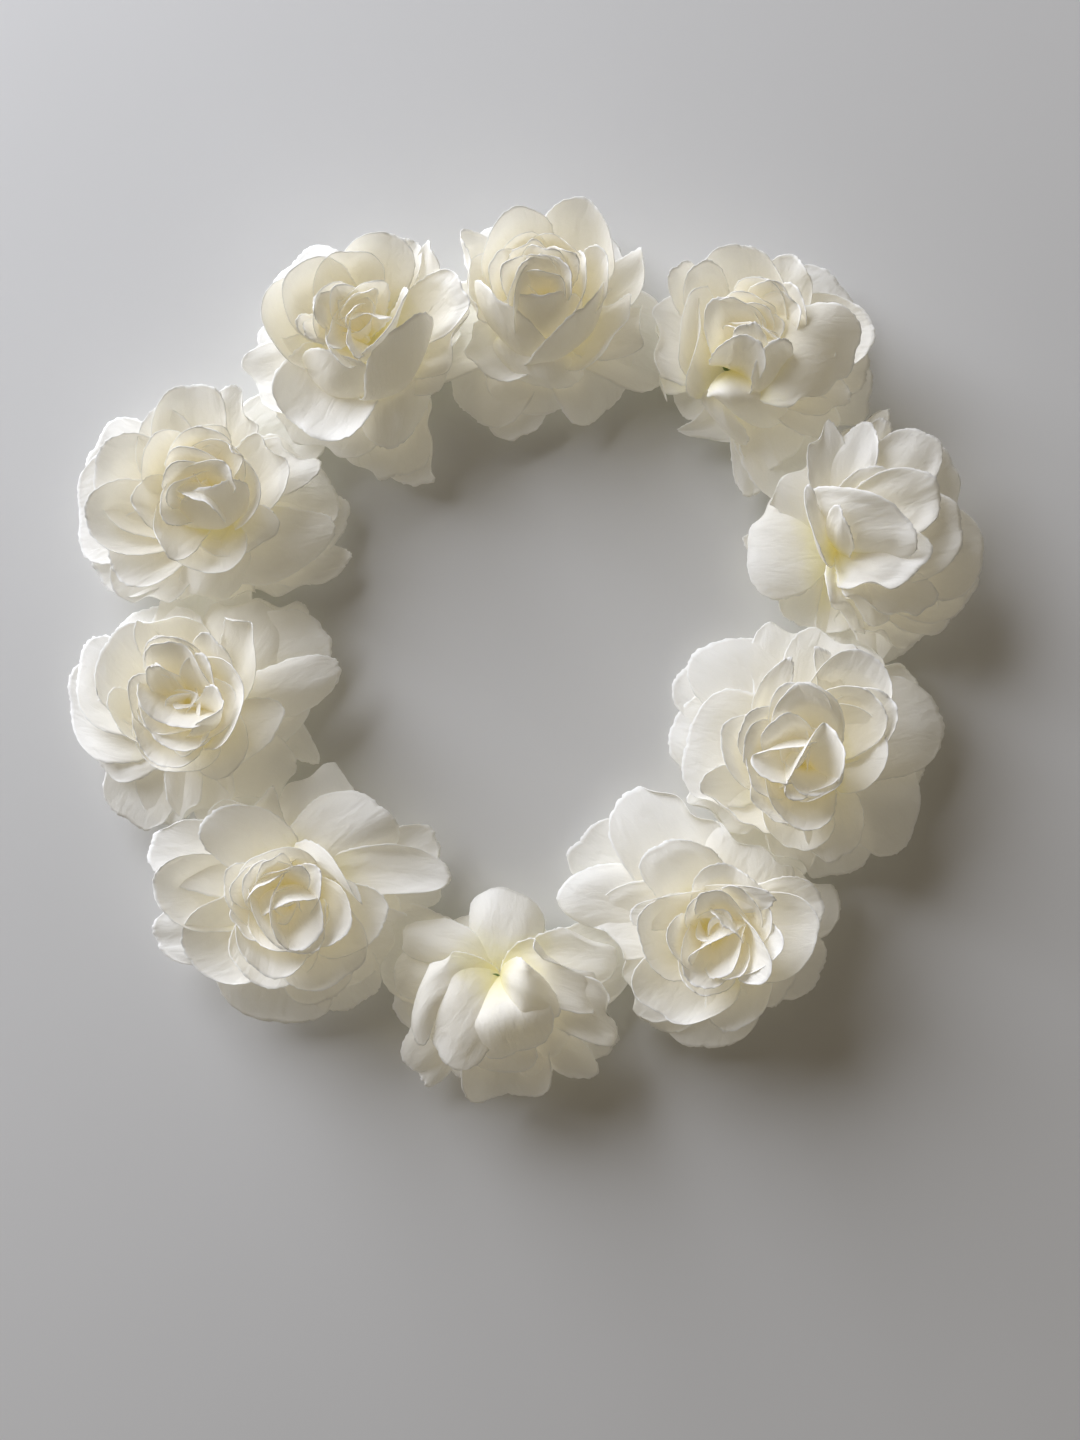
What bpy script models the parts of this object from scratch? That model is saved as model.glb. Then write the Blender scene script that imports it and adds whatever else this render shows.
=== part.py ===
"""Flower crown: ten fabric roses on a taped wire hoop.

Metres, +Z up. The crown lies flat, the hoop's underside on z = 0, and the
origin is under the middle of the whole outline. Roses are numbered clockwise
seen from above, starting at the upper left.

Each rose is built the way a threaded fabric rose is: a green moulded stem with
a saddle over the hoop, a calyx cup and a peg; three die-cut five-petal layers
threaded on the peg; and a rolled petal centre on the peg's end. A rose rolls
about the hoop's own centreline, so every piece of it has its origin there.
"""

import math

import bmesh
import bpy
from mathutils import Matrix, Vector

# ---------------------------------------------------------------- dimensions
MM = 0.001

HOOP_RADIUS = 92.0 * MM  # centreline of the wire
HOOP_STEPS = 48
CROWN_SHIFT = (3.0 * MM, 0.5 * MM)  # puts the outline's middle on the origin
WIRE_RADIUS = 0.9 * MM
TAPE_RADIUS = 2.2 * MM  # corner radius of the eight-sided sleeve
TAPE_WALL = 0.8 * MM
TAPE_SIDES = 8
TAPE_GAP_DEG = 3.0  # where the tape starts and ends
TAPE_GAP_AT_DEG = -3.0
HOOP_HEIGHT = TAPE_RADIUS * math.cos(math.pi / TAPE_SIDES)

SADDLE_INNER = 2.7 * MM
SADDLE_WALL = 0.8 * MM
SADDLE_LENGTH = 7.0 * MM
SADDLE_HALF_DEG = 104.0
STEM_RADIUS = 1.1 * MM
CALYX_BELOW = 4.0 * MM  # calyx foot, below the petals' seat
PEG_RADIUS = 1.0 * MM
PEG_TOP = 5.6 * MM

PETAL_THICK = 0.6 * MM
PETAL_HOLE = 1.55 * MM
LOBES = 5
LOBE_STEPS = 3
NEIGHBOUR_GAP = 0.7 * MM  # each side of the plane between two roses
LOWEST_PETAL = 0.75 * MM
HIGHEST_PETAL = 45.0 * MM

# Petal layers: (radius, height) from the peg hole out to the rim, then how
# deep the notch between two lobes is, as a fraction of the radius.
LAYERS = {
    "guard_petals": ([(1.55, 2.3), (16.0, 4.6), (34.0, 8.5)], 0.16, 0.0),
    "outer_petals": ([(1.55, 3.4), (14.0, 9.2), (27.0, 19.0)], 0.13, 0.5),
    "inner_petals": ([(1.55, 4.5), (9.0, 11.5), (17.0, 23.0)], 0.11, 0.0),
}
CENTRE_PROFILE = [(0.0, 5.9), (1.4, 5.9), (4.6, 11.0), (7.2, 18.0), (5.6, 24.0), (2.2, 26.0), (0.0, 26.2)]

# One row per rose: angle round the hoop (deg), seat of the petals outward of
# the hoop, along it, and above the table (mm), roll outward (deg), lean along
# the hoop (deg), spin of the petals (deg), size, joint range (deg).
ROSES = [
    (118.0, 4.0, 0.0, 10.5, 18.0, 0.0, 10.0, 1.00, (-8.0, 12.0)),
    (88.0, 0.5, 0.0, 11.0, 23.0, 0.0, 36.0, 0.97, (-8.0, 10.0)),
    (53.0, 4.0, 0.0, 14.0, 40.0, 2.0, 20.0, 1.04, (-12.0, 4.0)),
    (17.0, 5.0, 0.0, 14.0, 65.0, -12.0, 0.0, 1.06, (-25.0, 0.0)),
    (-24.0, -9.0, 0.0, 10.0, -10.0, 0.0, 15.0, 1.06, (-5.0, 12.0)),
    (-57.0, 3.0, 0.0, 10.0, 12.0, 0.0, 40.0, 1.02, (-8.0, 12.0)),
    (-94.0, 5.0, 0.0, 14.0, 65.0, 2.0, 5.0, 1.04, (-25.0, 0.0)),
    (-133.0, 4.0, 0.0, 10.0, 10.0, 0.0, 25.0, 1.05, (-8.0, 12.0)),
    (-169.0, 4.0, 0.0, 10.0, 12.0, 0.0, 50.0, 1.02, (-8.0, 12.0)),
    (156.0, 4.0, 0.0, 10.0, 10.0, 0.0, 0.0, 1.04, (-8.0, 12.0)),
]

# ------------------------------------------------------------------- scene
for old in list(bpy.data.objects):
    bpy.data.objects.remove(old, do_unlink=True)

crown = bpy.data.collections.new("flower_crown")
helpers = bpy.data.collections.new("helpers")
bpy.context.scene.collection.children.link(crown)
bpy.context.scene.collection.children.link(helpers)
bpy.context.scene.unit_settings.scale_length = 1.0


def material(name, colour, roughness, metallic=0.0):
    mat = bpy.data.materials.new(name)
    mat.use_nodes = True
    bsdf = mat.node_tree.nodes["Principled BSDF"]
    bsdf.inputs["Base Color"].default_value = (*colour, 1.0)
    bsdf.inputs["Roughness"].default_value = roughness
    bsdf.inputs["Metallic"].default_value = metallic
    mat.diffuse_color = (*colour, 1.0)
    return mat


MATERIALS = {
    "hoop_wire": material("iron_wire", (0.33, 0.32, 0.30), 0.45, 1.0),
    "hoop_tape": material("floral_tape", (0.16, 0.27, 0.12), 0.85),
    "stem": material("green_stem", (0.22, 0.34, 0.16), 0.55),
    "guard_petals": material("guard_fabric", (0.82, 0.80, 0.74), 0.60),
    "outer_petals": material("outer_fabric", (0.83, 0.81, 0.73), 0.60),
    "inner_petals": material("inner_fabric", (0.82, 0.79, 0.69), 0.60),
    "centre": material("centre_fabric", (0.80, 0.77, 0.65), 0.60),
}


def new_object(name, bm, mat, collection=crown, place=Matrix.Identity(4)):
    """Turns a bmesh into a named, placed and shaded object."""
    bmesh.ops.recalc_face_normals(bm, faces=bm.faces[:])
    mesh = bpy.data.meshes.new(name)
    bm.to_mesh(mesh)
    bm.free()
    obj = bpy.data.objects.new(name, mesh)
    collection.objects.link(obj)
    obj.matrix_world = place
    if mat is not None:
        mesh.materials.append(mat)
    mesh.shade_smooth()
    mesh.set_sharp_from_angle(angle=math.radians(40))
    return obj


def make_helper(obj):
    obj.hide_render = True
    obj.display_type = "WIRE"


def union(obj, other):
    mod = obj.modifiers.new("join_" + other.name, "BOOLEAN")
    mod.operation = "UNION"
    mod.solver = "EXACT"
    mod.object = other


def turned(profile, steps, start=0.0, angle=2 * math.pi):
    """The surface that a (radius, height) profile sweeps about Z, as a bmesh: a Screw, applied."""
    mesh = bpy.data.meshes.new("profile")
    mesh.from_pydata([(r, 0.0, z) for r, z in profile], [(i, i + 1) for i in range(len(profile) - 1)], [])
    obj = bpy.data.objects.new("profile", mesh)
    helpers.objects.link(obj)
    screw = obj.modifiers.new("turn", "SCREW")
    screw.axis = "Z"
    screw.angle = angle
    screw.steps = steps
    screw.render_steps = steps
    screw.use_merge_vertices = angle > 6.28
    screw.merge_threshold = 0.00001
    bpy.context.view_layer.update()
    swept = bpy.data.meshes.new_from_object(obj.evaluated_get(bpy.context.evaluated_depsgraph_get()))
    bpy.data.objects.remove(obj, do_unlink=True)
    bpy.data.meshes.remove(mesh)
    bm = bmesh.new()
    bm.from_mesh(swept)
    bpy.data.meshes.remove(swept)
    bmesh.ops.remove_doubles(bm, verts=bm.verts[:], dist=1e-7)
    bmesh.ops.rotate(bm, cent=(0, 0, 0), matrix=Matrix.Rotation(start, 3, "Z"), verts=bm.verts[:])
    return bm


# -------------------------------------------------------------------- hoop
# Corners sit a little outside the centreline circle and the middles of the
# straight runs a little inside it, so the error is shared.
HOOP_CORNER = HOOP_RADIUS * 2 / (1 + math.cos(math.pi / HOOP_STEPS))
hoop_place = Matrix.Translation((CROWN_SHIFT[0], CROWN_SHIFT[1], HOOP_HEIGHT))


def ring_section(radius, sides):
    turn = math.pi / sides
    return [
        (
            HOOP_CORNER + radius * math.cos(turn + 2 * turn * i),
            radius * math.sin(turn + 2 * turn * i),
        )
        for i in range(sides + 1)
    ]


wire = turned(ring_section(WIRE_RADIUS, 6), HOOP_STEPS)
new_object("hoop_wire", wire, MATERIALS["hoop_wire"], place=hoop_place)

gap = math.radians(TAPE_GAP_DEG)
tape = turned(
    ring_section(TAPE_RADIUS, TAPE_SIDES),
    HOOP_STEPS,
    start=math.radians(TAPE_GAP_AT_DEG) + gap / 2,
    angle=2 * math.pi - gap,
)
tape_obj = new_object("hoop_tape", tape, MATERIALS["hoop_tape"], place=hoop_place)
shell = tape_obj.modifiers.new("wall", "SOLIDIFY")
shell.thickness = TAPE_WALL
shell.offset = -1.0
shell.use_even_offset = True


# ------------------------------------------------------------------- roses
def plane_normals(index):
    """Unit normals of the two upright planes that part a rose from its neighbours, pointing out of its own wedge."""
    here = ROSES[index][0]
    normals = []
    for side, other in ((1, ROSES[index - 1][0]), (-1, ROSES[(index + 1) % len(ROSES)][0])):
        half = math.radians(((other - here) * side) % 360.0) / 2
        angle = math.radians(here) + side * half
        normals.append(Vector((-math.sin(angle) * side, math.cos(angle) * side, 0)))
    return normals


def build_rose(index):
    at_deg, outward, along, height, roll, lean, spin, size, limits = ROSES[index]
    tag = f"rose_{index + 1:02d}_"
    angle = math.radians(at_deg)
    foot = Vector((HOOP_RADIUS * math.cos(angle), HOOP_RADIUS * math.sin(angle), HOOP_HEIGHT))
    # Pivot frame: X outward, Y along the hoop, Z up.
    pivot = Matrix.Translation(foot) @ Matrix.Rotation(angle, 4, "Z")
    place = Matrix.Translation((CROWN_SHIFT[0], CROWN_SHIFT[1], 0)) @ pivot

    empty = bpy.data.objects.new(tag + "pivot", None)
    empty.empty_display_size = 5 * MM
    crown.objects.link(empty)
    empty.matrix_world = place

    seat = Vector((outward * MM, along * MM, height * MM - HOOP_HEIGHT))
    head = (
        Matrix.Translation(seat)
        @ Matrix.Rotation(math.radians(roll), 4, "Y")
        @ Matrix.Rotation(-math.radians(lean), 4, "X")
    )
    normals = plane_normals(index)
    turns = [Matrix.Rotation(math.radians(a), 4, "Y") for a in (limits[0], 0.0, limits[1])]

    def clear(point):
        if (pivot @ point).z > HIGHEST_PETAL:
            return False
        return all(
            (pivot @ (turn @ point)).dot(normal) < -NEIGHBOUR_GAP for turn in turns for normal in normals
        )

    def placed(radius, phi, z):
        return head @ Vector((radius * math.cos(phi), radius * math.sin(phi), z))

    def own(name, bm, mat):
        obj = new_object(name, bm, mat, place=place)
        obj.parent = empty
        obj.matrix_parent_inverse = empty.matrix_world.inverted()
        return obj

    # Stem: a bent wire from the saddle to the calyx, one solid with both.
    calyx_foot = head @ Vector((0, 0, -CALYX_BELOW))
    aim = calyx_foot.normalized()
    start = aim * (SADDLE_INNER + 0.45 * SADDLE_WALL)
    axis = (head.to_3x3() @ Vector((0, 0, 1))).normalized()
    end = calyx_foot + axis * 1.2 * MM
    reach = (end - start).length
    handles = [start, start + aim * reach * 0.4, calyx_foot - axis * reach * 0.3, end]
    spline_points = []
    for k in range(6):
        t = k / 5
        spline_points.append(
            handles[0] * (1 - t) ** 3
            + handles[1] * 3 * t * (1 - t) ** 2
            + handles[2] * 3 * t * t * (1 - t)
            + handles[3] * t**3
        )
    curve = bpy.data.curves.new(tag + "stem_path", "CURVE")
    curve.dimensions = "3D"
    curve.bevel_depth = STEM_RADIUS
    curve.bevel_resolution = 1
    curve.use_fill_caps = True
    spline = curve.splines.new("POLY")
    spline.points.add(len(spline_points) - 1)
    for point, co in zip(spline.points, spline_points):
        point.co = (*co, 1.0)
    path = bpy.data.objects.new(tag + "stem_path", curve)
    helpers.objects.link(path)
    bpy.context.view_layer.update()
    mesh = bpy.data.meshes.new_from_object(
        path.evaluated_get(bpy.context.evaluated_depsgraph_get())
    )
    bpy.data.objects.remove(path, do_unlink=True)
    bm = bmesh.new()
    bm.from_mesh(mesh)
    bpy.data.meshes.remove(mesh)
    bmesh.ops.remove_doubles(bm, verts=bm.verts[:], dist=1e-6)
    stem = own(tag + "stem", bm, MATERIALS["stem"])

    # Saddle: a strip bent over the hoop, open below, thickened outwards.
    half = math.radians(SADDLE_HALF_DEG)
    bm = turned(
        [(SADDLE_INNER, -SADDLE_LENGTH / 2), (SADDLE_INNER, SADDLE_LENGTH / 2)], 8, -half, 2 * half
    )
    # The strip was turned about Z round +X: stand it up round +Z, along Y.
    stand = Matrix(((0, 1, 0), (0, 0, 1), (1, 0, 0)))
    bmesh.ops.transform(bm, matrix=stand.to_4x4(), verts=bm.verts[:])
    saddle = new_object(tag + "saddle", bm, None, helpers, place)
    outward_sum = sum(f.normal.x * f.center.x + f.normal.z * f.center.z for f in saddle.data.polygons)
    if outward_sum < 0:
        saddle.data.flip_normals()
    wall = saddle.modifiers.new("wall", "SOLIDIFY")
    wall.thickness = SADDLE_WALL
    wall.offset = 1.0
    make_helper(saddle)

    # Calyx cup and peg, turned in one profile.
    profile = [
        (0.0, -CALYX_BELOW),
        (1.6 * MM, -CALYX_BELOW),
        (3.2 * MM, -2.2 * MM),
        (4.6 * MM, 1.5 * MM),
        (PEG_RADIUS, 1.5 * MM),
        (PEG_RADIUS, PEG_TOP),
        (0.0, PEG_TOP),
    ]
    bm = turned(profile, 10)
    bmesh.ops.transform(bm, matrix=head, verts=bm.verts[:])
    calyx = new_object(tag + "calyx", bm, None, helpers, place)
    make_helper(calyx)
    union(stem, saddle)
    union(stem, calyx)

    # Petal layers: turned dishes with a scalloped rim, drawn in where a
    # neighbour presses on them and lifted where the table does.
    steps = LOBES * LOBE_STEPS
    for layer, (points, notch, phase) in LAYERS.items():
        bm = turned([(r * MM, z * MM) for r, z in points], steps)
        rim = max(r for r, _ in points) * MM
        for vert in bm.verts:
            radius = math.hypot(vert.co.x, vert.co.y)
            phi = math.atan2(vert.co.y, vert.co.x)
            share = max(0.0, (radius - PETAL_HOLE) / (rim - PETAL_HOLE))
            lobe = 0.5 - 0.5 * math.cos(LOBES * (phi + math.pi / steps))
            new_radius = radius * (1 + (size - 1) * share) * (1 - notch * share * share * (1 - lobe))
            z = vert.co.z * (1 + (size - 1) * share)
            phi += math.radians(spin + phase * 360 / LOBES)
            while new_radius > PETAL_HOLE * 1.5 and not clear(placed(new_radius, phi, z)):
                new_radius -= 0.25 * MM
            co = placed(new_radius, phi, z)
            co.z = max(co.z, LOWEST_PETAL - HOOP_HEIGHT)
            vert.co = co
        obj = own(tag + layer, bm, MATERIALS[layer])
        cloth = obj.modifiers.new("cloth", "SOLIDIFY")
        cloth.thickness = PETAL_THICK
        cloth.offset = 0.0

    # Rolled petals at the middle.
    bm = turned([(r * size * MM, (PEG_TOP + 0.3 * MM) + (z - 5.9) * size * MM) for r, z in CENTRE_PROFILE], 10)
    for vert in bm.verts:
        phi = math.atan2(vert.co.y, vert.co.x)
        vert.co = placed(math.hypot(vert.co.x, vert.co.y), phi, vert.co.z)
    own(tag + "centre", bm, MATERIALS["centre"])


for number in range(len(ROSES)):
    build_rose(number)
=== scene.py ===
import math

import bpy
import numpy as np
from mathutils import Matrix, Vector


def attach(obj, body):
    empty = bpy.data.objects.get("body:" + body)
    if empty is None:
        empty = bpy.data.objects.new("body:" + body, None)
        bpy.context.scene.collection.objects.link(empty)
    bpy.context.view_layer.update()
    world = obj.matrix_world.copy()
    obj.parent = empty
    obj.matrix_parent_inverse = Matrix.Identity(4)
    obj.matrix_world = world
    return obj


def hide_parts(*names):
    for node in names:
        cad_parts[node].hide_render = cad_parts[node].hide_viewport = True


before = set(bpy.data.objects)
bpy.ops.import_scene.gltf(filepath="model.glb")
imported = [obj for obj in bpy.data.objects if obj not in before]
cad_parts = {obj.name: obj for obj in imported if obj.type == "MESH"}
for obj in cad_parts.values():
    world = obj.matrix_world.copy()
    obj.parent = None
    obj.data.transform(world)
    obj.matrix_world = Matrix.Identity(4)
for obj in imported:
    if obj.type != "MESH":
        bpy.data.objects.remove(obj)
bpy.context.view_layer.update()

MM = 0.001

# ------------------------------------------------------------------ the frame
HOOP_RADIUS = 92.0 * MM
HOOP_HEIGHT = 2.2 * math.cos(math.pi / 8) * MM
SHIFT = np.array((3.0 * MM, 0.5 * MM, 0.0))

# angle, seat outward / along / height, roll, lean, spin, size, joint range
ROSES = [
    (118.0, 4.0, 0.0, 10.5, 18.0, 0.0, 10.0, 1.00, (-8.0, 12.0)),
    (88.0, 0.5, 0.0, 11.0, 23.0, 0.0, 36.0, 0.97, (-8.0, 10.0)),
    (53.0, 4.0, 0.0, 14.0, 40.0, 2.0, 20.0, 1.04, (-12.0, 4.0)),
    (17.0, 5.0, 0.0, 14.0, 65.0, -12.0, 0.0, 1.06, (-25.0, 0.0)),
    (-24.0, -9.0, 0.0, 10.0, -10.0, 0.0, 15.0, 1.06, (-5.0, 12.0)),
    (-57.0, 3.0, 0.0, 10.0, 12.0, 0.0, 40.0, 1.02, (-8.0, 12.0)),
    (-94.0, 5.0, 0.0, 14.0, 65.0, 2.0, 5.0, 1.04, (-25.0, 0.0)),
    (-133.0, 4.0, 0.0, 10.0, 10.0, 0.0, 25.0, 1.05, (-8.0, 12.0)),
    (-169.0, 4.0, 0.0, 10.0, 12.0, 0.0, 50.0, 1.02, (-8.0, 12.0)),
    (156.0, 4.0, 0.0, 10.0, 10.0, 0.0, 0.0, 1.04, (-8.0, 12.0)),
]
# Where two neighbours part, for each rose and the next one: (distance from the crown's middle mm, angle deg) along the
# line between them at 15 mm up, and how that line leans, mm along the hoop for each mm up: a positive lean lets the
# first rose's upper petals reach over the second's lower ones.
BOUNDS = [
    [(62, 113.2), (89, 101.0), (116, 101.5)],
    [(76, 62.8), (94, 68.9), (115, 70.6)],
    [(70, 33.6), (97, 35.1), (120, 33.6)],
    [(68, 7.3), (90, 0.5), (115, -2.6)],
    [(51, -45.2), (82, -41.8), (112, -36.5)],
    [(76, -85.2), (86, -73.7), (99, -74.8), (117, -75.8)],
    [(76, -104.8), (86, -113.9), (103, -111.4), (120, -109.2)],
    [(72, -151.8), (85, -149.1), (97, -153.1), (124, -153.8)],
    [(59, 168.3), (73, 171.6), (88, 172.7), (117, 175.1)],
    [(72, 136.9), (86, 140.6), (97, 139.7), (110, 136.4)],
]
LEANS = [0.30, -0.35, -0.45, -0.35, -0.35, 0.30, -0.35, 0.35, -0.30, -0.35]


def rotation(axis, degrees):
    return np.array(Matrix.Rotation(math.radians(degrees), 3, axis))


class Rose:
    """A rose's frames: head-local to pivot-local to the crown, and what presses on it."""

    def __init__(self, index):
        self.index = index
        at, outward, along, height, roll, lean, spin, size, limits = ROSES[index]
        self.at, self.spin, self.size, self.limits = at, spin, size, limits
        angle = math.radians(at)
        self.foot = np.array((HOOP_RADIUS * math.cos(angle), HOOP_RADIUS * math.sin(angle), HOOP_HEIGHT))
        self.turn = rotation("Z", at)
        self.seat = np.array((outward * MM, along * MM, height * MM - HOOP_HEIGHT))
        self.head = rotation("Y", roll) @ rotation("X", -lean)
        count = len(ROSES)
        # side +1 is the anticlockwise neighbour, the rose before this one.
        self.sides = [(1.0, BOUNDS[(index - 1) % count], LEANS[(index - 1) % count]), (-1.0, BOUNDS[index], LEANS[index])]

    def to_crown(self, points):
        """Head-local metres to the crown, before anything presses."""
        pivot = points @ self.head.T + self.seat
        return pivot @ self.turn.T + self.foot

    def rolled(self, points, degrees):
        turn = self.turn @ rotation("Y", degrees) @ self.turn.T
        return (points - self.foot) @ turn.T + self.foot

    def press(self, points, soft=0.8 * MM, margin=-0.45 * MM, lift=0.25, under=False):
        """Bends petals back from the line to each neighbour, and up off the table, at rest and at both ends of the roll."""
        for _ in range(2):
            for degrees in (self.limits[0], self.limits[1], 0.0):
                p = self.rolled(points, degrees)
                for side, line, lean in [] if under else self.sides:
                    radius = np.hypot(p[:, 0], p[:, 1])
                    edge = np.radians(np.interp(radius / MM, [q[0] for q in line], [q[1] for q in line]))
                    # Petals meet along a wavy line, not a straight one.
                    edge = edge + 1.3 * MM / radius * np.sin(radius / (2.1 * MM) + line[0][1])
                    angle = np.arctan2(p[:, 1], p[:, 0])
                    gap = (angle - edge + np.pi) % (2 * np.pi) - np.pi
                    d = side * (gap * radius + lean * (p[:, 2] - 0.015)) + margin
                    new = -soft * np.logaddexp(0.0, -np.clip(d / soft, -30, 30))
                    new = np.where(d < -6 * soft, d, new)
                    turn = side * (new - d) / radius
                    c, s = np.cos(turn), np.sin(turn)
                    p = np.stack([c * p[:, 0] - s * p[:, 1], s * p[:, 0] + c * p[:, 1], p[:, 2] + lift * (d - new) * (d > -soft)], -1)
                # Off the table, and over the hoop: a petal that slips under its neighbour's lies nearer the hoop.
                near = 1 - smooth(5.0 * MM, 13.0 * MM, np.abs(np.hypot(p[:, 0], p[:, 1]) - HOOP_RADIUS))
                low, soft_z = (0.5 + (4.2 if under else 6.2) * near) * MM, (0.6 if under else 1.0) * MM
                z = p[:, 2] - low
                p[:, 2] = np.where(z > 6 * soft_z, p[:, 2], low + soft_z * np.logaddexp(0.0, z / soft_z))
                points = self.rolled(p, -degrees)
        return points


# ------------------------------------------------------------------- materials
def new_material(name):
    mat = bpy.data.materials.new(name)
    mat.use_nodes = True
    nodes, links = mat.node_tree.nodes, mat.node_tree.links
    return mat, nodes, links, nodes["Principled BSDF"], nodes["Material Output"]


def add(nodes, kind, **values):
    node = nodes.new(kind)
    for key, value in values.items():
        if key.startswith("in_"):
            name = key[3:]
            node.inputs[int(name) if name.isdigit() else name].default_value = value
        else:
            setattr(node, key, value)
    return node


def ramp(nodes, stops):
    node = nodes.new("ShaderNodeValToRGB")
    while len(node.color_ramp.elements) > 1:
        node.color_ramp.elements.remove(node.color_ramp.elements[0])
    node.color_ramp.elements[0].position = stops[0][0]
    node.color_ramp.elements[0].color = (*stops[0][1], 1)
    for position, colour in stops[1:]:
        node.color_ramp.elements.new(position).color = (*colour, 1)
    return node


def fabric(name, tip, middle, base, see_through=0.34):
    """Stiffened polyester satin: a fine weave, cream at the tip going greenish yellow to the petal's base (that yellow
    is painted shade of the rose's depths), light coming through.
    """
    mat, nodes, links, bsdf, out = new_material(name)
    place = add(nodes, "ShaderNodeAttribute", attribute_name="petal")
    split = add(nodes, "ShaderNodeSeparateXYZ")
    links.new(place.outputs["Vector"], split.inputs[0])
    along = add(nodes, "ShaderNodeAttribute", attribute_name="along")

    # Noise shifts at random where the cream turns to the painted yellow shade of the base.
    uneven = add(nodes, "ShaderNodeTexNoise", in_Scale=0.16, in_Detail=3.0)
    uneven.inputs["Roughness"].default_value = 0.55
    links.new(place.outputs["Vector"], uneven.inputs["Vector"])
    centred = add(nodes, "ShaderNodeMath", operation="MULTIPLY_ADD", in_1=0.34, in_2=-0.17)
    links.new(uneven.outputs[0], centred.inputs[0])
    moved = add(nodes, "ShaderNodeMath", operation="ADD")
    links.new(along.outputs["Fac"], moved.inputs[0])
    links.new(centred.outputs[0], moved.inputs[1])
    # Painted shade: yellower and a touch darker towards the base, as light deep in the rose comes back yellow.
    colour = ramp(nodes, [(0.05, base), (0.50, middle), (0.95, tip)])
    links.new(moved.outputs[0], colour.inputs[0])
    # Threads are a touch lighter and darker than their neighbours.
    thread = add(nodes, "ShaderNodeTexNoise", in_Scale=3.2, in_Detail=2.0)
    links.new(place.outputs["Vector"], thread.inputs["Vector"])
    shade = add(nodes, "ShaderNodeMapRange", in_3=0.955, in_4=1.03)
    links.new(thread.outputs[0], shade.inputs[0])
    # Painted highlight: the last half millimetre in from the cut edge is mixed towards near white, as if the edge
    # caught the light.
    rim = add(nodes, "ShaderNodeAttribute", attribute_name="rim")
    edge = add(nodes, "ShaderNodeMapRange", in_1=0.05, in_2=0.50, in_3=0.85, in_4=0.0)
    links.new(rim.outputs["Fac"], edge.inputs[0])
    painted_edge_highlight = add(nodes, "ShaderNodeMix", data_type="RGBA")
    painted_edge_highlight.inputs[7].default_value = (0.975, 0.973, 0.962, 1)
    links.new(edge.outputs[0], painted_edge_highlight.inputs[0])
    links.new(colour.outputs[0], painted_edge_highlight.inputs[6])
    tinted = add(nodes, "ShaderNodeVectorMath", operation="SCALE")
    links.new(painted_edge_highlight.outputs[2], tinted.inputs[0])
    links.new(shade.outputs[0], tinted.inputs["Scale"])
    links.new(tinted.outputs[0], bsdf.inputs["Base Color"])

    # Weave: warp and weft 0.30 mm apart, over each other in turn.
    def threads(source, pitch):
        turned = add(nodes, "ShaderNodeMath", operation="MULTIPLY", in_1=2 * math.pi / pitch)
        links.new(source, turned.inputs[0])
        wave = add(nodes, "ShaderNodeMath", operation="SINE")
        links.new(turned.outputs[0], wave.inputs[0])
        return wave.outputs[0]

    warp, weft = threads(split.outputs[0], 0.30), threads(split.outputs[1], 0.34)
    weave = add(nodes, "ShaderNodeMath", operation="MULTIPLY")
    links.new(warp, weave.inputs[0])
    links.new(weft, weave.inputs[1])
    slub = add(nodes, "ShaderNodeTexNoise", in_Scale=1.1, in_Detail=5.0)
    stretched = add(nodes, "ShaderNodeVectorMath", operation="MULTIPLY", in_1=(2.6, 0.5, 1.0))
    links.new(place.outputs["Vector"], stretched.inputs[0])
    links.new(stretched.outputs[0], slub.inputs["Vector"])
    height = add(nodes, "ShaderNodeMath", operation="MULTIPLY_ADD", in_1=0.22)
    links.new(weave.outputs[0], height.inputs[0])
    links.new(slub.outputs[0], height.inputs[2])
    # Soft creases a few millimetres apart, from pressing and handling.
    crease = add(nodes, "ShaderNodeTexNoise", in_Scale=0.22, in_Detail=2.0)
    crease.inputs["Distortion"].default_value = 0.6
    longways = add(nodes, "ShaderNodeVectorMath", operation="MULTIPLY", in_1=(1.5, 0.55, 1.0))
    links.new(place.outputs["Vector"], longways.inputs[0])
    links.new(longways.outputs[0], crease.inputs["Vector"])
    creased = add(nodes, "ShaderNodeBump", in_Strength=0.34, in_Distance=0.0012)
    links.new(crease.outputs[0], creased.inputs["Height"])
    bump = add(nodes, "ShaderNodeBump", in_Strength=0.22, in_Distance=0.00022)
    links.new(height.outputs[0], bump.inputs["Height"])
    links.new(creased.outputs[0], bump.inputs["Normal"])
    links.new(bump.outputs[0], bsdf.inputs["Normal"])

    rough = add(nodes, "ShaderNodeMapRange", in_3=0.50, in_4=0.66)
    links.new(slub.outputs[0], rough.inputs[0])
    links.new(rough.outputs[0], bsdf.inputs["Roughness"])
    bsdf.inputs["Specular IOR Level"].default_value = 0.32
    bsdf.inputs["Sheen Weight"].default_value = 0.22
    bsdf.inputs["Sheen Roughness"].default_value = 0.42
    bsdf.inputs["Sheen Tint"].default_value = (1.0, 0.98, 0.94, 1.0)
    # Painted glow: a faint warm emission lifts the shade on the petals, though the cloth is no lamp.
    bsdf.inputs["Emission Color"].default_value = (1.0, 0.93, 0.76, 1.0)
    bsdf.inputs["Emission Strength"].default_value = 0.070

    through = add(nodes, "ShaderNodeBsdfTranslucent")
    warmed = add(nodes, "ShaderNodeVectorMath", operation="MULTIPLY", in_1=(1.0, 0.985, 0.93))
    links.new(tinted.outputs[0], warmed.inputs[0])
    links.new(warmed.outputs[0], through.inputs["Color"])
    links.new(bump.outputs[0], through.inputs["Normal"])
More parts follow.
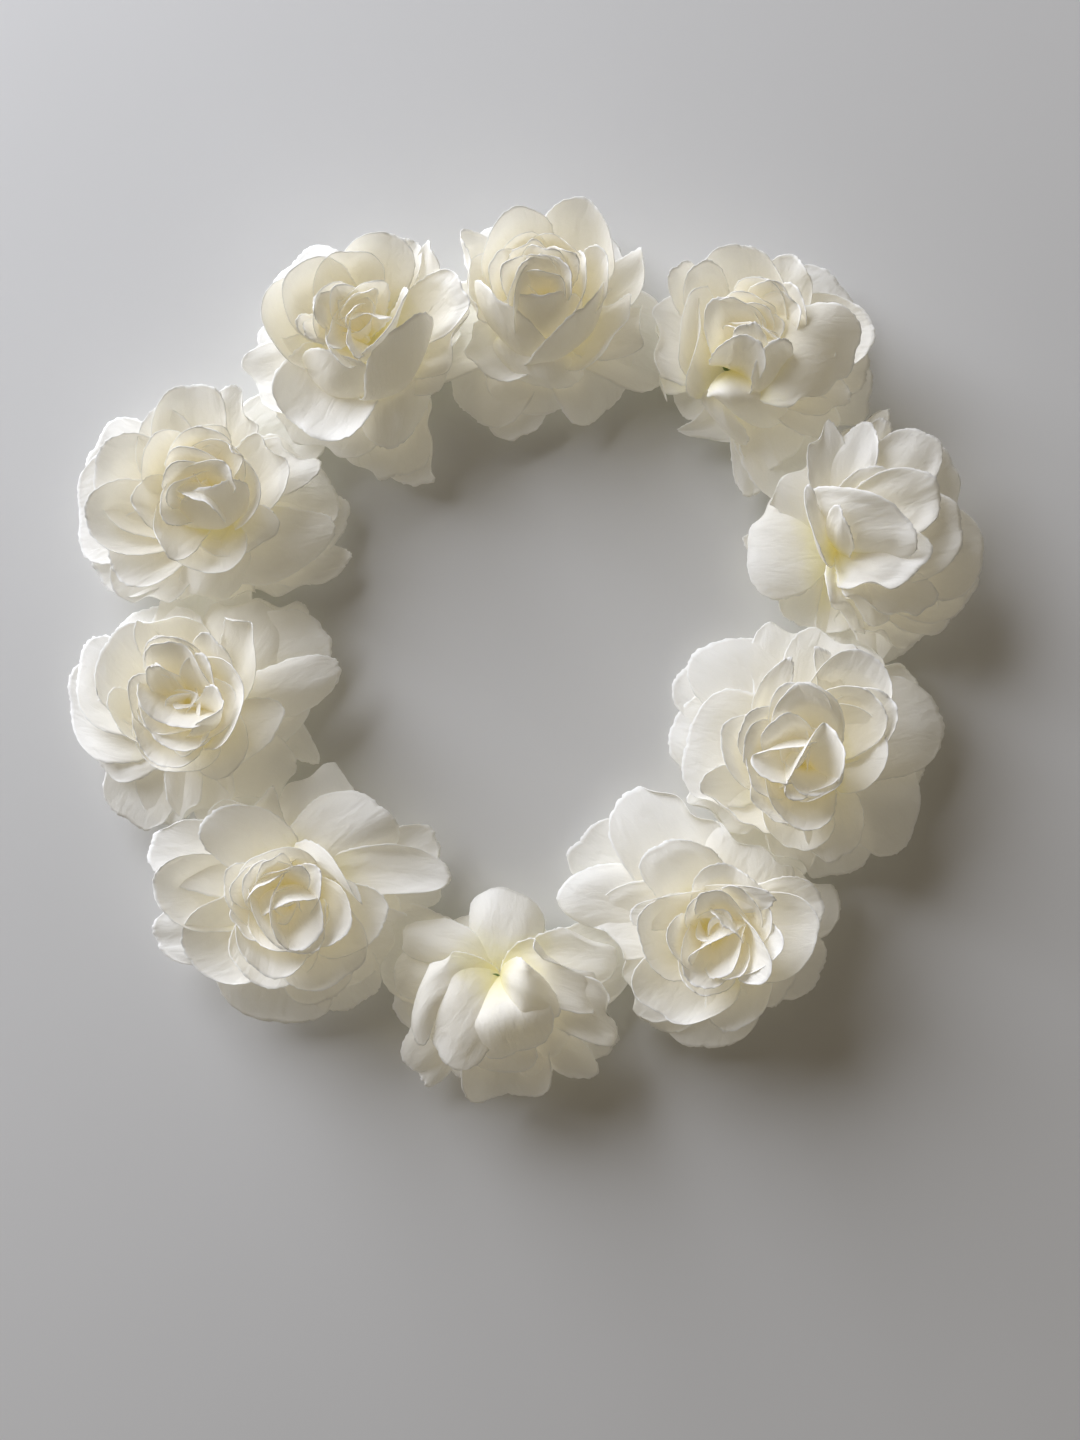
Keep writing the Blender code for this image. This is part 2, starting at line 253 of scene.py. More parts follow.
    # Less light comes through the loosened edge.
    less = add(nodes, "ShaderNodeMath", operation="MULTIPLY_ADD", in_1=-0.9 * see_through, in_2=see_through)
    links.new(edge.outputs[0], less.inputs[0])
    mix = add(nodes, "ShaderNodeMixShader")
    links.new(less.outputs[0], mix.inputs[0])
    links.new(bsdf.outputs[0], mix.inputs[1])
    links.new(through.outputs[0], mix.inputs[2])
    links.new(mix.outputs[0], out.inputs["Surface"])
    return mat


# Painted shade: each layer further in has a yellower base, guard least and centre most, for the yellow shade deep in
# the rose.
MATS = {
    "guard": fabric("guard_satin", (0.953, 0.955, 0.957), (0.954, 0.951, 0.940), (0.930, 0.912, 0.690), 0.38),
    "outer": fabric("outer_satin", (0.954, 0.954, 0.950), (0.952, 0.945, 0.920), (0.925, 0.900, 0.620), 0.38),
    "inner": fabric("inner_satin", (0.954, 0.951, 0.940), (0.949, 0.938, 0.892), (0.918, 0.887, 0.540), 0.38),
    "centre": fabric("centre_satin", (0.953, 0.947, 0.926), (0.946, 0.930, 0.862), (0.912, 0.875, 0.500), 0.38),
}


def green_plastic():
    mat, nodes, links, bsdf, out = new_material("green_polyethylene")
    where = add(nodes, "ShaderNodeTexCoord")
    noise = add(nodes, "ShaderNodeTexNoise", in_Scale=420.0, in_Detail=4.0)
    links.new(where.outputs["Object"], noise.inputs["Vector"])
    colour = ramp(nodes, [(0.3, (0.115, 0.190, 0.070)), (0.7, (0.190, 0.285, 0.120))])
    links.new(noise.outputs[0], colour.inputs[0])
    links.new(colour.outputs[0], bsdf.inputs["Base Color"])
    bump = add(nodes, "ShaderNodeBump", in_Strength=0.25, in_Distance=0.0002)
    links.new(noise.outputs[0], bump.inputs["Height"])
    links.new(bump.outputs[0], bsdf.inputs["Normal"])
    bsdf.inputs["Roughness"].default_value = 0.48
    bsdf.inputs["Subsurface Weight"].default_value = 0.0
    return mat


def floral_tape():
    mat, nodes, links, bsdf, out = new_material("waxed_crepe_tape")
    place = add(nodes, "ShaderNodeAttribute", attribute_name="petal")
    crinkle = add(nodes, "ShaderNodeTexNoise", in_Scale=1.2, in_Detail=6.0)
    squeeze = add(nodes, "ShaderNodeVectorMath", operation="MULTIPLY", in_1=(3.0, 0.6, 1.0))
    links.new(place.outputs["Vector"], squeeze.inputs[0])
    links.new(squeeze.outputs[0], crinkle.inputs["Vector"])
    colour = ramp(nodes, [(0.25, (0.150, 0.245, 0.105)), (0.75, (0.260, 0.370, 0.185))])
    links.new(crinkle.outputs[0], colour.inputs[0])
    links.new(colour.outputs[0], bsdf.inputs["Base Color"])
    bump = add(nodes, "ShaderNodeBump", in_Strength=0.6, in_Distance=0.0003)
    links.new(crinkle.outputs[0], bump.inputs["Height"])
    links.new(bump.outputs[0], bsdf.inputs["Normal"])
    bsdf.inputs["Roughness"].default_value = 0.72
    return mat


def iron_wire():
    mat, nodes, links, bsdf, out = new_material("annealed_iron_wire")
    where = add(nodes, "ShaderNodeTexCoord")
    noise = add(nodes, "ShaderNodeTexNoise", in_Scale=900.0, in_Detail=5.0)
    links.new(where.outputs["Object"], noise.inputs["Vector"])
    colour = ramp(nodes, [(0.3, (0.10, 0.10, 0.105)), (0.7, (0.23, 0.22, 0.215))])
    links.new(noise.outputs[0], colour.inputs[0])
    links.new(colour.outputs[0], bsdf.inputs["Base Color"])
    bump = add(nodes, "ShaderNodeBump", in_Strength=0.3, in_Distance=0.00005)
    links.new(noise.outputs[0], bump.inputs["Height"])
    links.new(bump.outputs[0], bsdf.inputs["Normal"])
    bsdf.inputs["Metallic"].default_value = 1.0
    bsdf.inputs["Roughness"].default_value = 0.42
    return mat


MATS["green"] = green_plastic()
MATS["wire"] = iron_wire()
MATS["tape"] = floral_tape()

# --------------------------------------------------------------------- petals
def smooth(low, high, x):
    t = np.clip((x - low) / (high - low), 0.0, 1.0)
    return t * t * (3 - 2 * t)


def wobble(rng, angle, count=4, first=2):
    """A smooth random function round a petal's outline, about -1 to 1."""
    total = np.zeros_like(angle)
    for k in range(first, first + count):
        total += rng.uniform(-1, 1) * np.sin(k * angle + rng.uniform(0, 6.28)) / (k - first + 1) ** 0.6
    return total / 1.8


def petal(rng, length, width, bend, az, rho=2.0, h=2.0, wrap=1.0, least_wrap=6.0, curl=1.5, ruffle=0.7,
          fold=0.0, roll=0.0, twist=0.0, sway=0.0, point=0.0, waist=0.55, lump=0.7, n=24, curl_from=0.45,
          tilt_tip=0.0, square=0.0):
    """One petal in its head's frame, in mm. bend is the slope of its middle line against the head's plane, from base to
    tip, in degrees. Returns points, faces, and per point the place in the cut cloth (mm) and how far along it is."""
    a = np.linspace(-1, 1, n + 1)
    A, B = np.meshgrid(a, a)
    X = (A * np.sqrt(1 - B * B / 2)).ravel()
    Y = (B * np.sqrt(1 - A * A / 2)).ravel()
    edge = X * X + Y * Y
    around = np.arctan2(X, Y)
    # The outline: waisted at the base, broad above the middle, a little uneven.
    s = (Y + 1) / 2
    reach = 1 + 0.030 * wobble(rng, around) * edge
    profile = waist + (1 - waist) * smooth(0.0, 0.52, s)
    if square:
        stretch = 1 + square * 0.16 * np.abs(np.sin(2 * around)) * smooth(0.3, 0.9, s)
        X2, s2 = X * stretch, 0.5 + (s - 0.5) * stretch
    else:
        X2, s2 = X, s
    x = width * X2 * profile * reach
    s_out = s2 * reach + point / length * smooth(0.55, 1.0, s) * (1 - smooth(0.0, 0.5, np.abs(X)))
    # Frayed cut edge: fine steps along the very rim.
    rim = edge > 0.985
    fray = rng.uniform(-1, 1, len(x)) * rim
    s_out = s_out + fray * 0.14 / length
    x = x + rng.uniform(-1, 1, len(x)) * rim * 0.14

    # Middle line.
    steps = 80
    t = np.linspace(0, 1.12, steps)
    knots = np.linspace(0, 1, len(bend))
    slope = np.interp(t, knots, bend)
    kernel = np.ones(15) / 15
    slope = np.convolve(np.pad(slope, 7, mode="edge"), kernel, "valid")
    slope = np.radians(slope)
    ds = (t[1] - t[0]) * length
    run = rho + np.concatenate([[0], np.cumsum(np.cos(slope[:-1]) * ds)])
    rise = h + np.concatenate([[0], np.cumsum(np.sin(slope[:-1]) * ds)])
    s_clip = np.clip(s_out, 0, 1.12)
    out, up, ang = np.interp(s_clip, t, run), np.interp(s_clip, t, rise), np.interp(s_clip, t, slope)

    radius = np.maximum(np.abs(out) * wrap, least_wrap)
    psi = np.clip(x / radius, -1.5, 1.5)
    side = radius * np.sin(psi)
    off = radius * (1 - np.cos(psi))
    # Rim curling back, ripples that grow towards the rim, soft dents, a fold.
    grow = smooth(curl_from, 1.0, edge) * smooth(0.25, 0.75, s)
    off = off - curl * grow
    off = off + ruffle * wobble(rng, around, 4, 2) * edge ** 1.5 * smooth(0.2, 0.8, s)
    px, py = rng.uniform(0, 6.28, 2)
    off = off + lump * np.sin(X * 2.3 + px) * np.sin(Y * 2.6 + py) * smooth(0.1, 0.5, s)
    off = off + fold * (np.sqrt(x * x + 1.5) - 1.2) * smooth(0.05, 0.5, s)
    off = off + x * math.tan(math.radians(roll)) + x * np.tan(np.radians(twist) * s)
    side = side + sway * s * s
    az = math.radians(az)
    er = np.array((math.cos(az), math.sin(az), 0.0))
    et = np.array((-math.sin(az), math.cos(az), 0.0))
    en = np.array((0.0, 0.0, 1.0))
    nr, nz = -np.sin(ang), np.cos(ang)
    pts = (out + off * nr)[:, None] * er + (up + off * nz)[:, None] * en + side[:, None] * et
    index = np.arange((n + 1) * (n + 1)).reshape(n + 1, n + 1)
    faces = np.stack([index[:-1, :-1], index[:-1, 1:], index[1:, 1:], index[1:, :-1]], -1).reshape(-1, 4)
    cloth = np.stack([x, s_out * length, np.full_like(x, rng.uniform(0, 400))], -1)
    return pts, faces, cloth, s_out, (1 - np.sqrt(edge)) * width


def cut_shape(rng, n, width, length, waist, point, square):
    """The flat cut of one petal on a round grid: x across (mm), s from base to tip (0 to 1), and where each point is."""
    a = np.linspace(-1, 1, n + 1)
    A, B = np.meshgrid(a, a)
    X = (A * np.sqrt(1 - B * B / 2)).ravel()
    Y = (B * np.sqrt(1 - A * A / 2)).ravel()
    edge = X * X + Y * Y
    around = np.arctan2(X, Y)
    s = (Y + 1) / 2
    reach = 1 + 0.035 * wobble(rng, around) * edge
    profile = waist + (1 - waist) * smooth(0.0, 0.50, s)
    stretch = 1 + square * 0.20 * np.abs(np.sin(2 * around)) * smooth(0.3, 0.9, s)
    x = 0.5 * width * X * stretch * profile * reach * (1 + 0.12 * smooth(0.45, 0.8, s))
    s_out = (0.5 + (s - 0.5) * stretch) * reach
    s_out = s_out + point / length * smooth(0.55, 1.0, s) * (1 - smooth(0.0, 0.6, np.abs(X)))
    rim = edge > 0.985
    x = x + rng.uniform(-1, 1, len(x)) * rim * 0.26
    s_out = s_out + rng.uniform(-1, 1, len(x)) * rim * 0.26 / length
    index = np.arange((n + 1) * (n + 1)).reshape(n + 1, n + 1)
    faces = np.stack([index[:-1, :-1], index[:-1, 1:], index[1:, 1:], index[1:, :-1]], -1).reshape(-1, 4)
    return x, s_out, X, Y, edge, around, s, faces


def placed_petal(rng, base, tip, belly, width, cup=20.0, curl=0.8, ruffle=0.8, lump=0.7, roll=0.0, twist=0.0,
                 fold=0.0, point=0.0, square=0.50, waist=0.60, n=28):
    """One petal in its rose's frame, in mm, on a middle line from base through belly to tip. cup is the radius that it
    is curled across to: its edges come up from a positive one and go down from a negative one."""
    base, tip, belly = (np.array(v, float) for v in (base, tip, belly))
    along = np.array(belly - base)
    along[2] = 0
    if np.linalg.norm(along) < 2.0:
        along = tip - base
        along[2] = 0
    er = along / np.linalg.norm(along)
    en = np.array((0.0, 0.0, 1.0))
    et = np.cross(en, er)
    near, far = np.linalg.norm(belly - base), np.linalg.norm(tip - belly)
    middle = near / (near + far)
    control = (belly - (1 - middle) ** 2 * base - middle ** 2 * tip) / (2 * middle * (1 - middle))
    t = np.linspace(0, 1, 60)[:, None]
    line = (1 - t) ** 2 * base + 2 * t * (1 - t) * control + t * t * tip
    step = line[-1] - line[-2]
    line = np.vstack([line] + [line[-1:] + step * k for k in range(1, 12)])
    travel = np.concatenate([[0], np.cumsum(np.linalg.norm(np.diff(line, axis=0), axis=1))])
    length = travel[59]
    x, s_out, X, Y, edge, around, s, faces = cut_shape(rng, n, width, length, waist, point, square)
    where = np.clip(s_out, 0, 1.1) * length
    local = (line - base) @ np.stack([er, et, en]).T
    out, side0, up = (np.interp(where, travel, local[:, k]) for k in range(3))
    slope = np.unwrap(np.arctan2(np.gradient(local[:, 2]), np.gradient(local[:, 0])))
    ang = np.interp(where, travel, slope)
    psi = np.clip(x / cup, -1.45, 1.45)
    side, off = cup * np.sin(psi), cup * (1 - np.cos(psi))
    grow = smooth(0.5, 1.0, edge) * smooth(0.3, 0.8, s)
    off = off - curl * grow
    off = off + ruffle * wobble(rng, around, 4, 2) * edge ** 1.5 * smooth(0.2, 0.8, s)
    off = off + 0.30 * ruffle * wobble(rng, around, 5, 6) * edge ** 3 * smooth(0.25, 0.7, s)
    px, py, pz = rng.uniform(0, 6.28, 3)
    off = off + lump * np.sin(X * 2.3 + px) * np.sin(Y * 2.6 + py) * smooth(0.1, 0.5, s)
    off = off + 0.25 * lump * np.sin(X * 7.0 + pz + 2.0 * Y) * smooth(0.1, 0.5, s)
    off = off + fold * (np.sqrt(x * x + 1.5) - 1.2) * smooth(0.05, 0.5, s)
    turn = np.radians(roll + twist * s)
    side, off = side * np.cos(turn) - off * np.sin(turn), side * np.sin(turn) + off * np.cos(turn)
    nr, nz = -np.sin(ang), np.cos(ang)
    pts = base + (out + off * nr)[:, None] * er + (up + off * nz)[:, None] * en + (side0 + side)[:, None] * et
    cloth = np.stack([x, s_out * length, np.full_like(x, rng.uniform(0, 400))], -1)
    return pts, faces, cloth, s_out, (1 - np.sqrt(edge)) * width / 2


def mesh_object(name, parts, mat, thickness=0.17, finish=None):
    """One object from petals: parts are (points in crown metres, faces, cloth, along, mm in from the cut edge)."""
    pts, faces, cloth, along, rim, base = [], [], [], [], [], 0
    for p, f, c, s, r in parts:
        pts.append(p)
        rim.append(r)
        faces.append(f + base)
        cloth.append(c)
        along.append(s)
        base += len(p)
    pts, faces, cloth, along = np.vstack(pts), np.vstack(faces), np.vstack(cloth), np.concatenate(along)
    mesh = bpy.data.meshes.new(name)
    mesh.from_pydata(pts.tolist(), [], faces.tolist())
    at = mesh.attributes.new("petal", "FLOAT_VECTOR", "POINT")
    at.data.foreach_set("vector", cloth.astype(np.float32).ravel())
    at = mesh.attributes.new("along", "FLOAT", "POINT")
    at.data.foreach_set("value", np.clip(along, 0, 1).astype(np.float32))
    at = mesh.attributes.new("rim", "FLOAT", "POINT")
    at.data.foreach_set("value", np.concatenate(rim).astype(np.float32))
    mesh.materials.append(mat)
    mesh.shade_smooth()
    obj = bpy.data.objects.new(name, mesh)
    bpy.context.scene.collection.objects.link(obj)
    if thickness:
        solid = obj.modifiers.new("cloth", "SOLIDIFY")
        solid.thickness = thickness * MM
        solid.offset = 0.0
        solid.use_rim = True
    return obj


# Each rose: where its petals spring from, its bud's top, and its larger petals, outermost first, each with its tip, the
# middle of its belly and its width. All in mm along the rose's outward, along-the-hoop and upward directions.
PETALS = [
    # rose 01
    ((0.0, 0.0, 0.0), (5.5, 0.5, 25.5), [
        ("g", (-29.0, 4.5, 4.5), (-18.0, 0.0, 7.5), 19.5, dict(cup=-16, lump=1.2)),
        ("g", (-37.5, 10.5, -2.5), (-22.5, 6.5, -0.5), 21.5, dict(cup=-40)),
        ("g", (-41.5, 4.5, -5.5), (-24.0, 2.0, -3.5), 17.0, dict(cup=60)),
        ("g", (-20.0, 28.0, 0.5), (-13.0, 17.0, 1.5), 25.5, dict(cup=40)),
        ("g", (-15.0, 26.5, 7.5), (-11.0, 19.5, 7.5), 23.5, dict(cup=30, ruffle=1.8, curl=-1.5)),
        ("g", (4.0, 35.5, 4.5), (0.5, 23.0, 5.5), 17.5, dict(cup=26, ruffle=1.2)),
        ("g", (13.5, 27.0, 1.5), (6.5, 17.5, 2.5), 14.0, dict(cup=30)),
        ("g", (31.0, 8.5, -0.5), (16.0, 5.0, 1.5), 20.0, dict(cup=40)),
        ("o", (15.5, 21.0, 19.5), (13.0, 18.0, 6.5), 26.0, dict(cup=13, curl=0.8)),
        ("o", (19.0, 8.0, 24.5), (16.5, 7.5, 11.5), 21.0, dict(cup=12)),
        ("o", (18.0, -6.0, 23.5), (15.5, -3.5, 10.5), 18.5, dict(cup=13)),
        ("o", (17.0, -17.5, 21.5), (14.0, -11.5, 8.5), 18.0, dict(cup=15)),
        ("o", (14.5, -23.5, 14.5), (10.5, -15.5, 7.5), 9.5, dict(cup=15)),
        ("o", (9.0, -28.0, 19.5), (4.0, -20.5, 8.5), 9.5, dict(cup=22, curl=-0.5)),
        ("o", (-5.0, -28.0, 22.5), (-3.0, -18.5, 8.5), 15.0, dict(cup=12, curl=2)),
        ("o", (-14.5, -27.0, 15.5), (-11.5, -17.0, 6.5), 18.0, dict(cup=14, curl=2)),
        ("o", (-20.0, -15.5, 6.5), (-13.0, -10.0, 4.5), 15.0, dict(cup=16)),
        ("o", (-7.5, -10.0, 27.5), (-17.5, -3.0, 9.5), 22.0, dict(cup=16, curl=0.5)),
        ("o", (-6.0, 7.5, 20.5), (-9.0, 15.5, 6.5), 20.0, dict(cup=16, curl=0.5)),
        ("i", (-4.5, -10.5, 30.5), (-7.0, -4.0, 15.5), 19.5, dict(cup=13)),
        ("i", (8.5, 6.5, 28.5), (7.0, 6.0, 14.5), 17.5, dict(cup=10)),
        ("i", (6.0, -7.5, 27.5), (5.5, -3.0, 13.5), 13.0, dict(cup=10)),
        ("i", (6.0, 14.0, 26.5), (5.0, 11.0, 17.5), 6.5, dict(cup=8)),
        ("i", (-5.0, 9.0, 25.5), (-0.5, 7.0, 13.5), 14.5, dict(cup=10)),
        ("c", (4.0, 13.0, 25.5), (3.5, 9.5, 19.5), 7.5, dict(cup=6, curl=1)),
        ("c", (7.0, 6.5, 28.5), (6.0, 4.0, 19.5), 11.0, dict(cup=6, curl=2)),
        ("c", (5.0, -5.5, 29.5), (6.0, -1.5, 19.5), 12.0, dict(cup=6, ruffle=2)),
        ("c", (-2.0, -5.5, 28.5), (2.0, -1.5, 18.5), 11.0, dict(cup=7, ruffle=2)),
        ("c", (-6.0, 4.0, 27.5), (0.5, 3.0, 18.5), 13.0, dict(cup=7, ruffle=1.8, curl=1.5)),
        ("c", (-1.0, 9.5, 26.5), (2.5, 5.5, 18.5), 10.5, dict(cup=6, ruffle=1.5)),
        ("c", (8.0, 0.5, 28.5), (7.0, 1.0, 19.5), 10.5, dict(cup=6, ruffle=1.6)),
        ("c", (0.0, 1.0, 29.5), (4.0, 1.0, 20.5), 9.0, dict(cup=5, ruffle=1.8, twist=30)),
    ]),
    # rose 02
    ((0.0, 0.0, 0.0), (7.5, -0.5, 25.0), [
        ("g", (-21.0, -1.5, 4.0), (-11.5, 1.5, 8.0), 25.5, dict(cup=-15, lump=1.2, square=0.5)),
        ("g", (-26.5, -0.5, -2.0), (-17.5, -0.5, 1.0), 24.0, dict(cup=-40, square=0.5)),
        ("g", (-31.5, 8.5, -6.0), (-19.0, 6.0, -3.0), 17.5, dict(cup=60, point=4)),
        ("g", (-25.0, -20.5, -5.0), (-13.5, -15.5, -2.0), 23.0, dict(cup=50, square=0.4)),
        ("g", (-28.0, 18.5, -5.0), (-17.0, 11.5, -2.0), 19.5, dict(cup=50)),
        ("g", (-15.0, 17.0, 2.0), (-10.5, 9.5, 3.0), 17.5, dict(cup=30, curl=-1)),
        ("g", (26.0, 12.0, -2.0), (14.5, 7.0, 1.0), 22.5, dict(cup=40)),
        ("g", (27.5, -13.5, -2.0), (15.0, -9.5, 1.0), 22.5, dict(cup=40)),
        ("o", (-1.0, 10.0, 20.0), (-11.0, 7.0, 5.0), 24.5, dict(cup=18, curl=0.4)),
        ("o", (-1.5, -12.0, 21.0), (-11.0, -9.5, 6.0), 24.5, dict(cup=18, curl=0.6)),
        ("i", (0.0, -0.5, 23.0), (-9.0, -1.0, 9.0), 23.5, dict(cup=14, curl=0.5)),
        ("o", (-3.0, -23.0, 16.0), (-8.5, -18.0, 5.0), 18.5, dict(cup=14, curl=2)),
        ("o", (12.5, -30.0, 15.0), (7.0, -22.5, 6.0), 11.0, dict(cup=16)),
        ("o", (-4.0, -31.5, 8.0), (-5.5, -22.5, 4.0), 12.5, dict(cup=18)),
        ("o", (23.5, -13.5, 20.0), (17.5, -12.0, 8.0), 21.5, dict(cup=15, curl=1)),
        ("o", (20.5, 8.0, 22.0), (15.0, 7.0, 9.0), 20.0, dict(cup=14, curl=1)),
        ("o", (15.5, 23.5, 14.0), (11.5, 16.5, 6.0), 12.5, dict(cup=14)),
        ("o", (6.0, 22.5, 11.0), (4.5, 13.5, 6.0), 16.5, dict(cup=15)),
        ("i", (7.0, 2.0, 27.0), (1.5, 1.5, 14.0), 22.0, dict(cup=13, curl=0.4)),
        ("i", (6.0, -11.5, 25.0), (1.5, -9.5, 12.0), 16.5, dict(cup=11)),
        ("i", (7.0, 11.5, 26.0), (4.5, 7.5, 13.0), 13.0, dict(cup=10)),
        ("i", (8.5, -17.0, 23.0), (4.5, -15.0, 11.0), 16.0, dict(cup=10)),
        ("i", (14.5, -5.0, 25.0), (13.5, -4.5, 12.0), 17.5, dict(cup=10)),
        ("i", (13.5, 5.5, 26.0), (13.0, 4.5, 13.0), 13.0, dict(cup=9)),
        ("c", (5.5, 2.5, 30.0), (3.5, 1.5, 20.0), 18.0, dict(cup=10, curl=1.2)),
        ("c", (6.0, -6.0, 29.0), (5.0, -3.5, 20.0), 14.0, dict(cup=9, ruffle=1.2)),
        ("c", (6.0, 8.0, 28.0), (5.0, 5.0, 19.0), 12.5, dict(cup=9)),
        ("c", (9.5, -1.5, 29.0), (8.5, -1.5, 20.0), 14.5, dict(cup=9)),
        ("c", (11.0, 3.5, 28.0), (10.0, 2.0, 19.0), 12.5, dict(cup=9)),
        ("c", (9.5, -8.0, 28.0), (9.0, -5.5, 19.0), 12.0, dict(cup=9)),
        ("c", (7.0, 0.0, 30.0), (8.0, -0.5, 20.0), 10.0, dict(cup=6, ruffle=1.5)),
        ("c", (3.5, -2.5, 29.0), (4.0, -2.0, 19.0), 13.0, dict(cup=8, ruffle=1.2)),
    ]),
    # rose 03
    ((0.0, 0.0, 0.0), (14.0, -0.5, 24.0), [
        ("g", (-6.0, 26.5, 7.0), (-3.0, 13.5, 3.0), 20.0, dict(cup=26)),
        ("g", (-15.0, -13.0, -2.0), (-11.5, -2.5, 5.0), 9.0, dict(cup=-9)),
        ("g", (-15.0, 6.0, -7.0), (-8.0, 3.5, -4.0), 16.0, dict(cup=-60, point=2)),
        ("g", (-20.5, -2.0, -7.0), (-15.0, -6.5, -5.0), 13.5, dict(cup=60, point=1.5)),
        ("g", (-23.0, -25.5, -8.0), (-14.5, -17.5, -6.0), 9.0, dict(cup=16)),
        ("g", (-11.0, -26.5, -6.0), (-5.5, -17.5, -3.0), 17.5, dict(cup=50)),
        ("g", (18.0, -37.0, -6.0), (12.0, -26.5, -4.0), 20.0, dict(cup=50)),
        ("g", (14.0, 25.0, -4.0), (8.0, 13.5, 0.0), 17.0, dict(cup=30)),
        ("g", (39.0, -9.5, -6.0), (23.0, -6.5, -2.0), 21.5, dict(cup=40)),
        ("g", (2.5, -35.5, -4.0), (1.5, -22.5, 3.0), 10.5, dict(cup=20, curl=-1)),
        ("o", (3.0, 20.0, 17.0), (-2.5, 10.5, 4.0), 17.0, dict(cup=14, curl=0.5)),
        ("o", (9.0, 28.5, 17.0), (6.5, 19.5, 6.0), 9.5, dict(cup=9)),
        ("o", (12.0, 22.5, 18.0), (8.0, 16.0, 7.0), 11.5, dict(cup=10)),
        ("o", (22.5, 17.0, 16.0), (18.0, 10.0, 5.0), 23.0, dict(cup=16, curl=0.8)),
        ("o", (30.5, 3.0, 12.0), (23.5, 1.0, 4.0), 14.5, dict(cup=14)),
        ("o", (29.5, -21.5, 8.0), (23.5, -15.0, 2.0), 21.0, dict(cup=16, curl=1)),
        ("o", (21.0, -30.0, 3.0), (15.5, -19.5, 2.0), 14.0, dict(cup=22)),
        ("o", (11.5, -30.5, 4.0), (7.0, -21.5, 4.0), 11.0, dict(cup=14)),
        ("o", (-8.0, -16.5, 2.0), (-7.5, -6.5, 16.0), 16.5, dict(cup=-12, point=2)),
        ("i", (20.0, -24.0, 14.0), (8.5, -13.0, 21.0), 24.0, dict(cup=-60, curl=-0.2, lump=1.3)),
        ("i", (2.5, 0.0, 27.0), (-2.5, -0.5, 18.0), 13.0, dict(cup=-14)),
        ("o", (1.0, 14.5, 15.0), (-5.0, 8.0, 8.0), 18.0, dict(cup=-20, curl=-0.5)),
        ("o", (5.0, -5.5, 26.0), (-2.0, -11.0, 12.0), 11.5, dict(cup=10, roll=-12)),
        ("i", (4.0, 3.0, 29.0), (0.5, -1.5, 19.0), 9.0, dict(cup=9)),
        ("i", (7.0, 11.0, 25.0), (4.5, 4.5, 13.0), 16.0, dict(cup=11)),
        ("i", (19.5, -4.0, 23.0), (15.0, -6.5, 12.0), 17.5, dict(cup=11)),
        ("i", (17.5, 6.5, 24.0), (15.5, 3.0, 13.0), 17.5, dict(cup=10)),
        ("i", (16.5, -18.0, 18.0), (15.0, -15.0, 10.0), 13.5, dict(cup=11)),
        ("c", (12.5, 7.5, 26.0), (11.5, 5.0, 15.0), 14.5, dict(cup=9, ruffle=1.2)),
        ("c", (17.5, 3.5, 26.0), (15.5, 2.5, 15.0), 13.5, dict(cup=9, ruffle=1.2)),
        ("c", (7.0, 9.5, 25.0), (8.0, 5.5, 15.0), 12.5, dict(cup=9)),
        ("c", (16.0, -3.0, 25.0), (14.0, -1.5, 15.0), 13.5, dict(cup=9, curl=1.5)),
        ("c", (5.5, -0.5, 26.0), (8.5, 0.5, 16.0), 16.0, dict(cup=9, curl=1.5)),
        ("c", (3.0, 4.0, 24.0), (7.5, 3.0, 15.0), 11.5, dict(cup=8)),
        ("c", (10.5, 3.0, 27.0), (11.5, 2.5, 17.0), 10.5, dict(cup=6, ruffle=1.6)),
    ]),
    # rose 04
    ((-6.0, 0.5, -1.0), (19.0, -6.5, 10.0), [
        ("g", (-18.0, 27.0, 5.0), (-12.0, 18.5, 6.0), 14.5, dict(cup=-14)),
        ("g", (-21.0, 21.0, -3.0), (-13.5, 13.0, -2.0), 18.5, dict(cup=30)),
        ("g", (-30.5, 17.0, -8.0), (-19.0, 12.0, -6.0), 19.0, dict(cup=50)),
        ("g", (-31.0, 6.5, 0.0), (-20.5, 4.0, 4.0), 22.5, dict(cup=-60, ruffle=0.5, lump=0.6)),
        ("g", (-3.5, 32.0, 14.0), (-6.0, 20.5, 13.0), 11.0, dict(cup=12, roll=18, point=3)),
        ("i", (-14.5, 14.0, 20.0), (-14.5, 5.0, 16.0), 13.0, dict(cup=10, roll=15)),
        ("g", (-25.0, -17.0, -7.0), (-16.5, -9.5, -4.0), 15.0, dict(cup=-40)),
        ("g", (16.0, 35.0, -1.0), (4.5, 23.0, 0.0), 11.0, dict(cup=14)),
        ("g", (6.5, 28.0, 14.0), (0.5, 18.5, 13.0), 11.0, dict(cup=12, roll=-18, point=3)),
        ("g", (15.0, 29.0, 6.0), (7.0, 20.0, 6.0), 9.0, dict(cup=10, roll=10)),
        ("g", (-9.0, -23.5, -9.0), (-6.0, -12.5, -6.0), 17.0, dict(cup=50)),
        ("g", (4.0, -35.0, -10.0), (2.0, -18.5, -6.0), 19.0, dict(cup=50)),
        ("g", (7.0, -32.5, -5.0), (4.0, -19.5, -1.0), 20.5, dict(cup=30, curl=-1)),
        ("o", (10.5, 15.0, 16.0), (1.0, 9.5, 13.0), 14.0, dict(cup=16)),
        ("o", (6.5, 2.5, 23.0), (-2.0, 3.0, 22.0), 24.5, dict(cup=-30, curl=-1.8, lump=1.2)),
        ("i", (-6.5, 7.0, 24.0), (-9.5, 1.5, 15.0), 10.5, dict(cup=9, roll=35)),
        ("o", (24.0, 21.5, 6.0), (10.0, 13.0, 14.0), 15.5, dict(cup=-30, curl=-1.5)),
        ("o", (30.5, 13.0, 0.0), (13.0, 6.5, 10.0), 17.0, dict(cup=-30, curl=-1.5)),
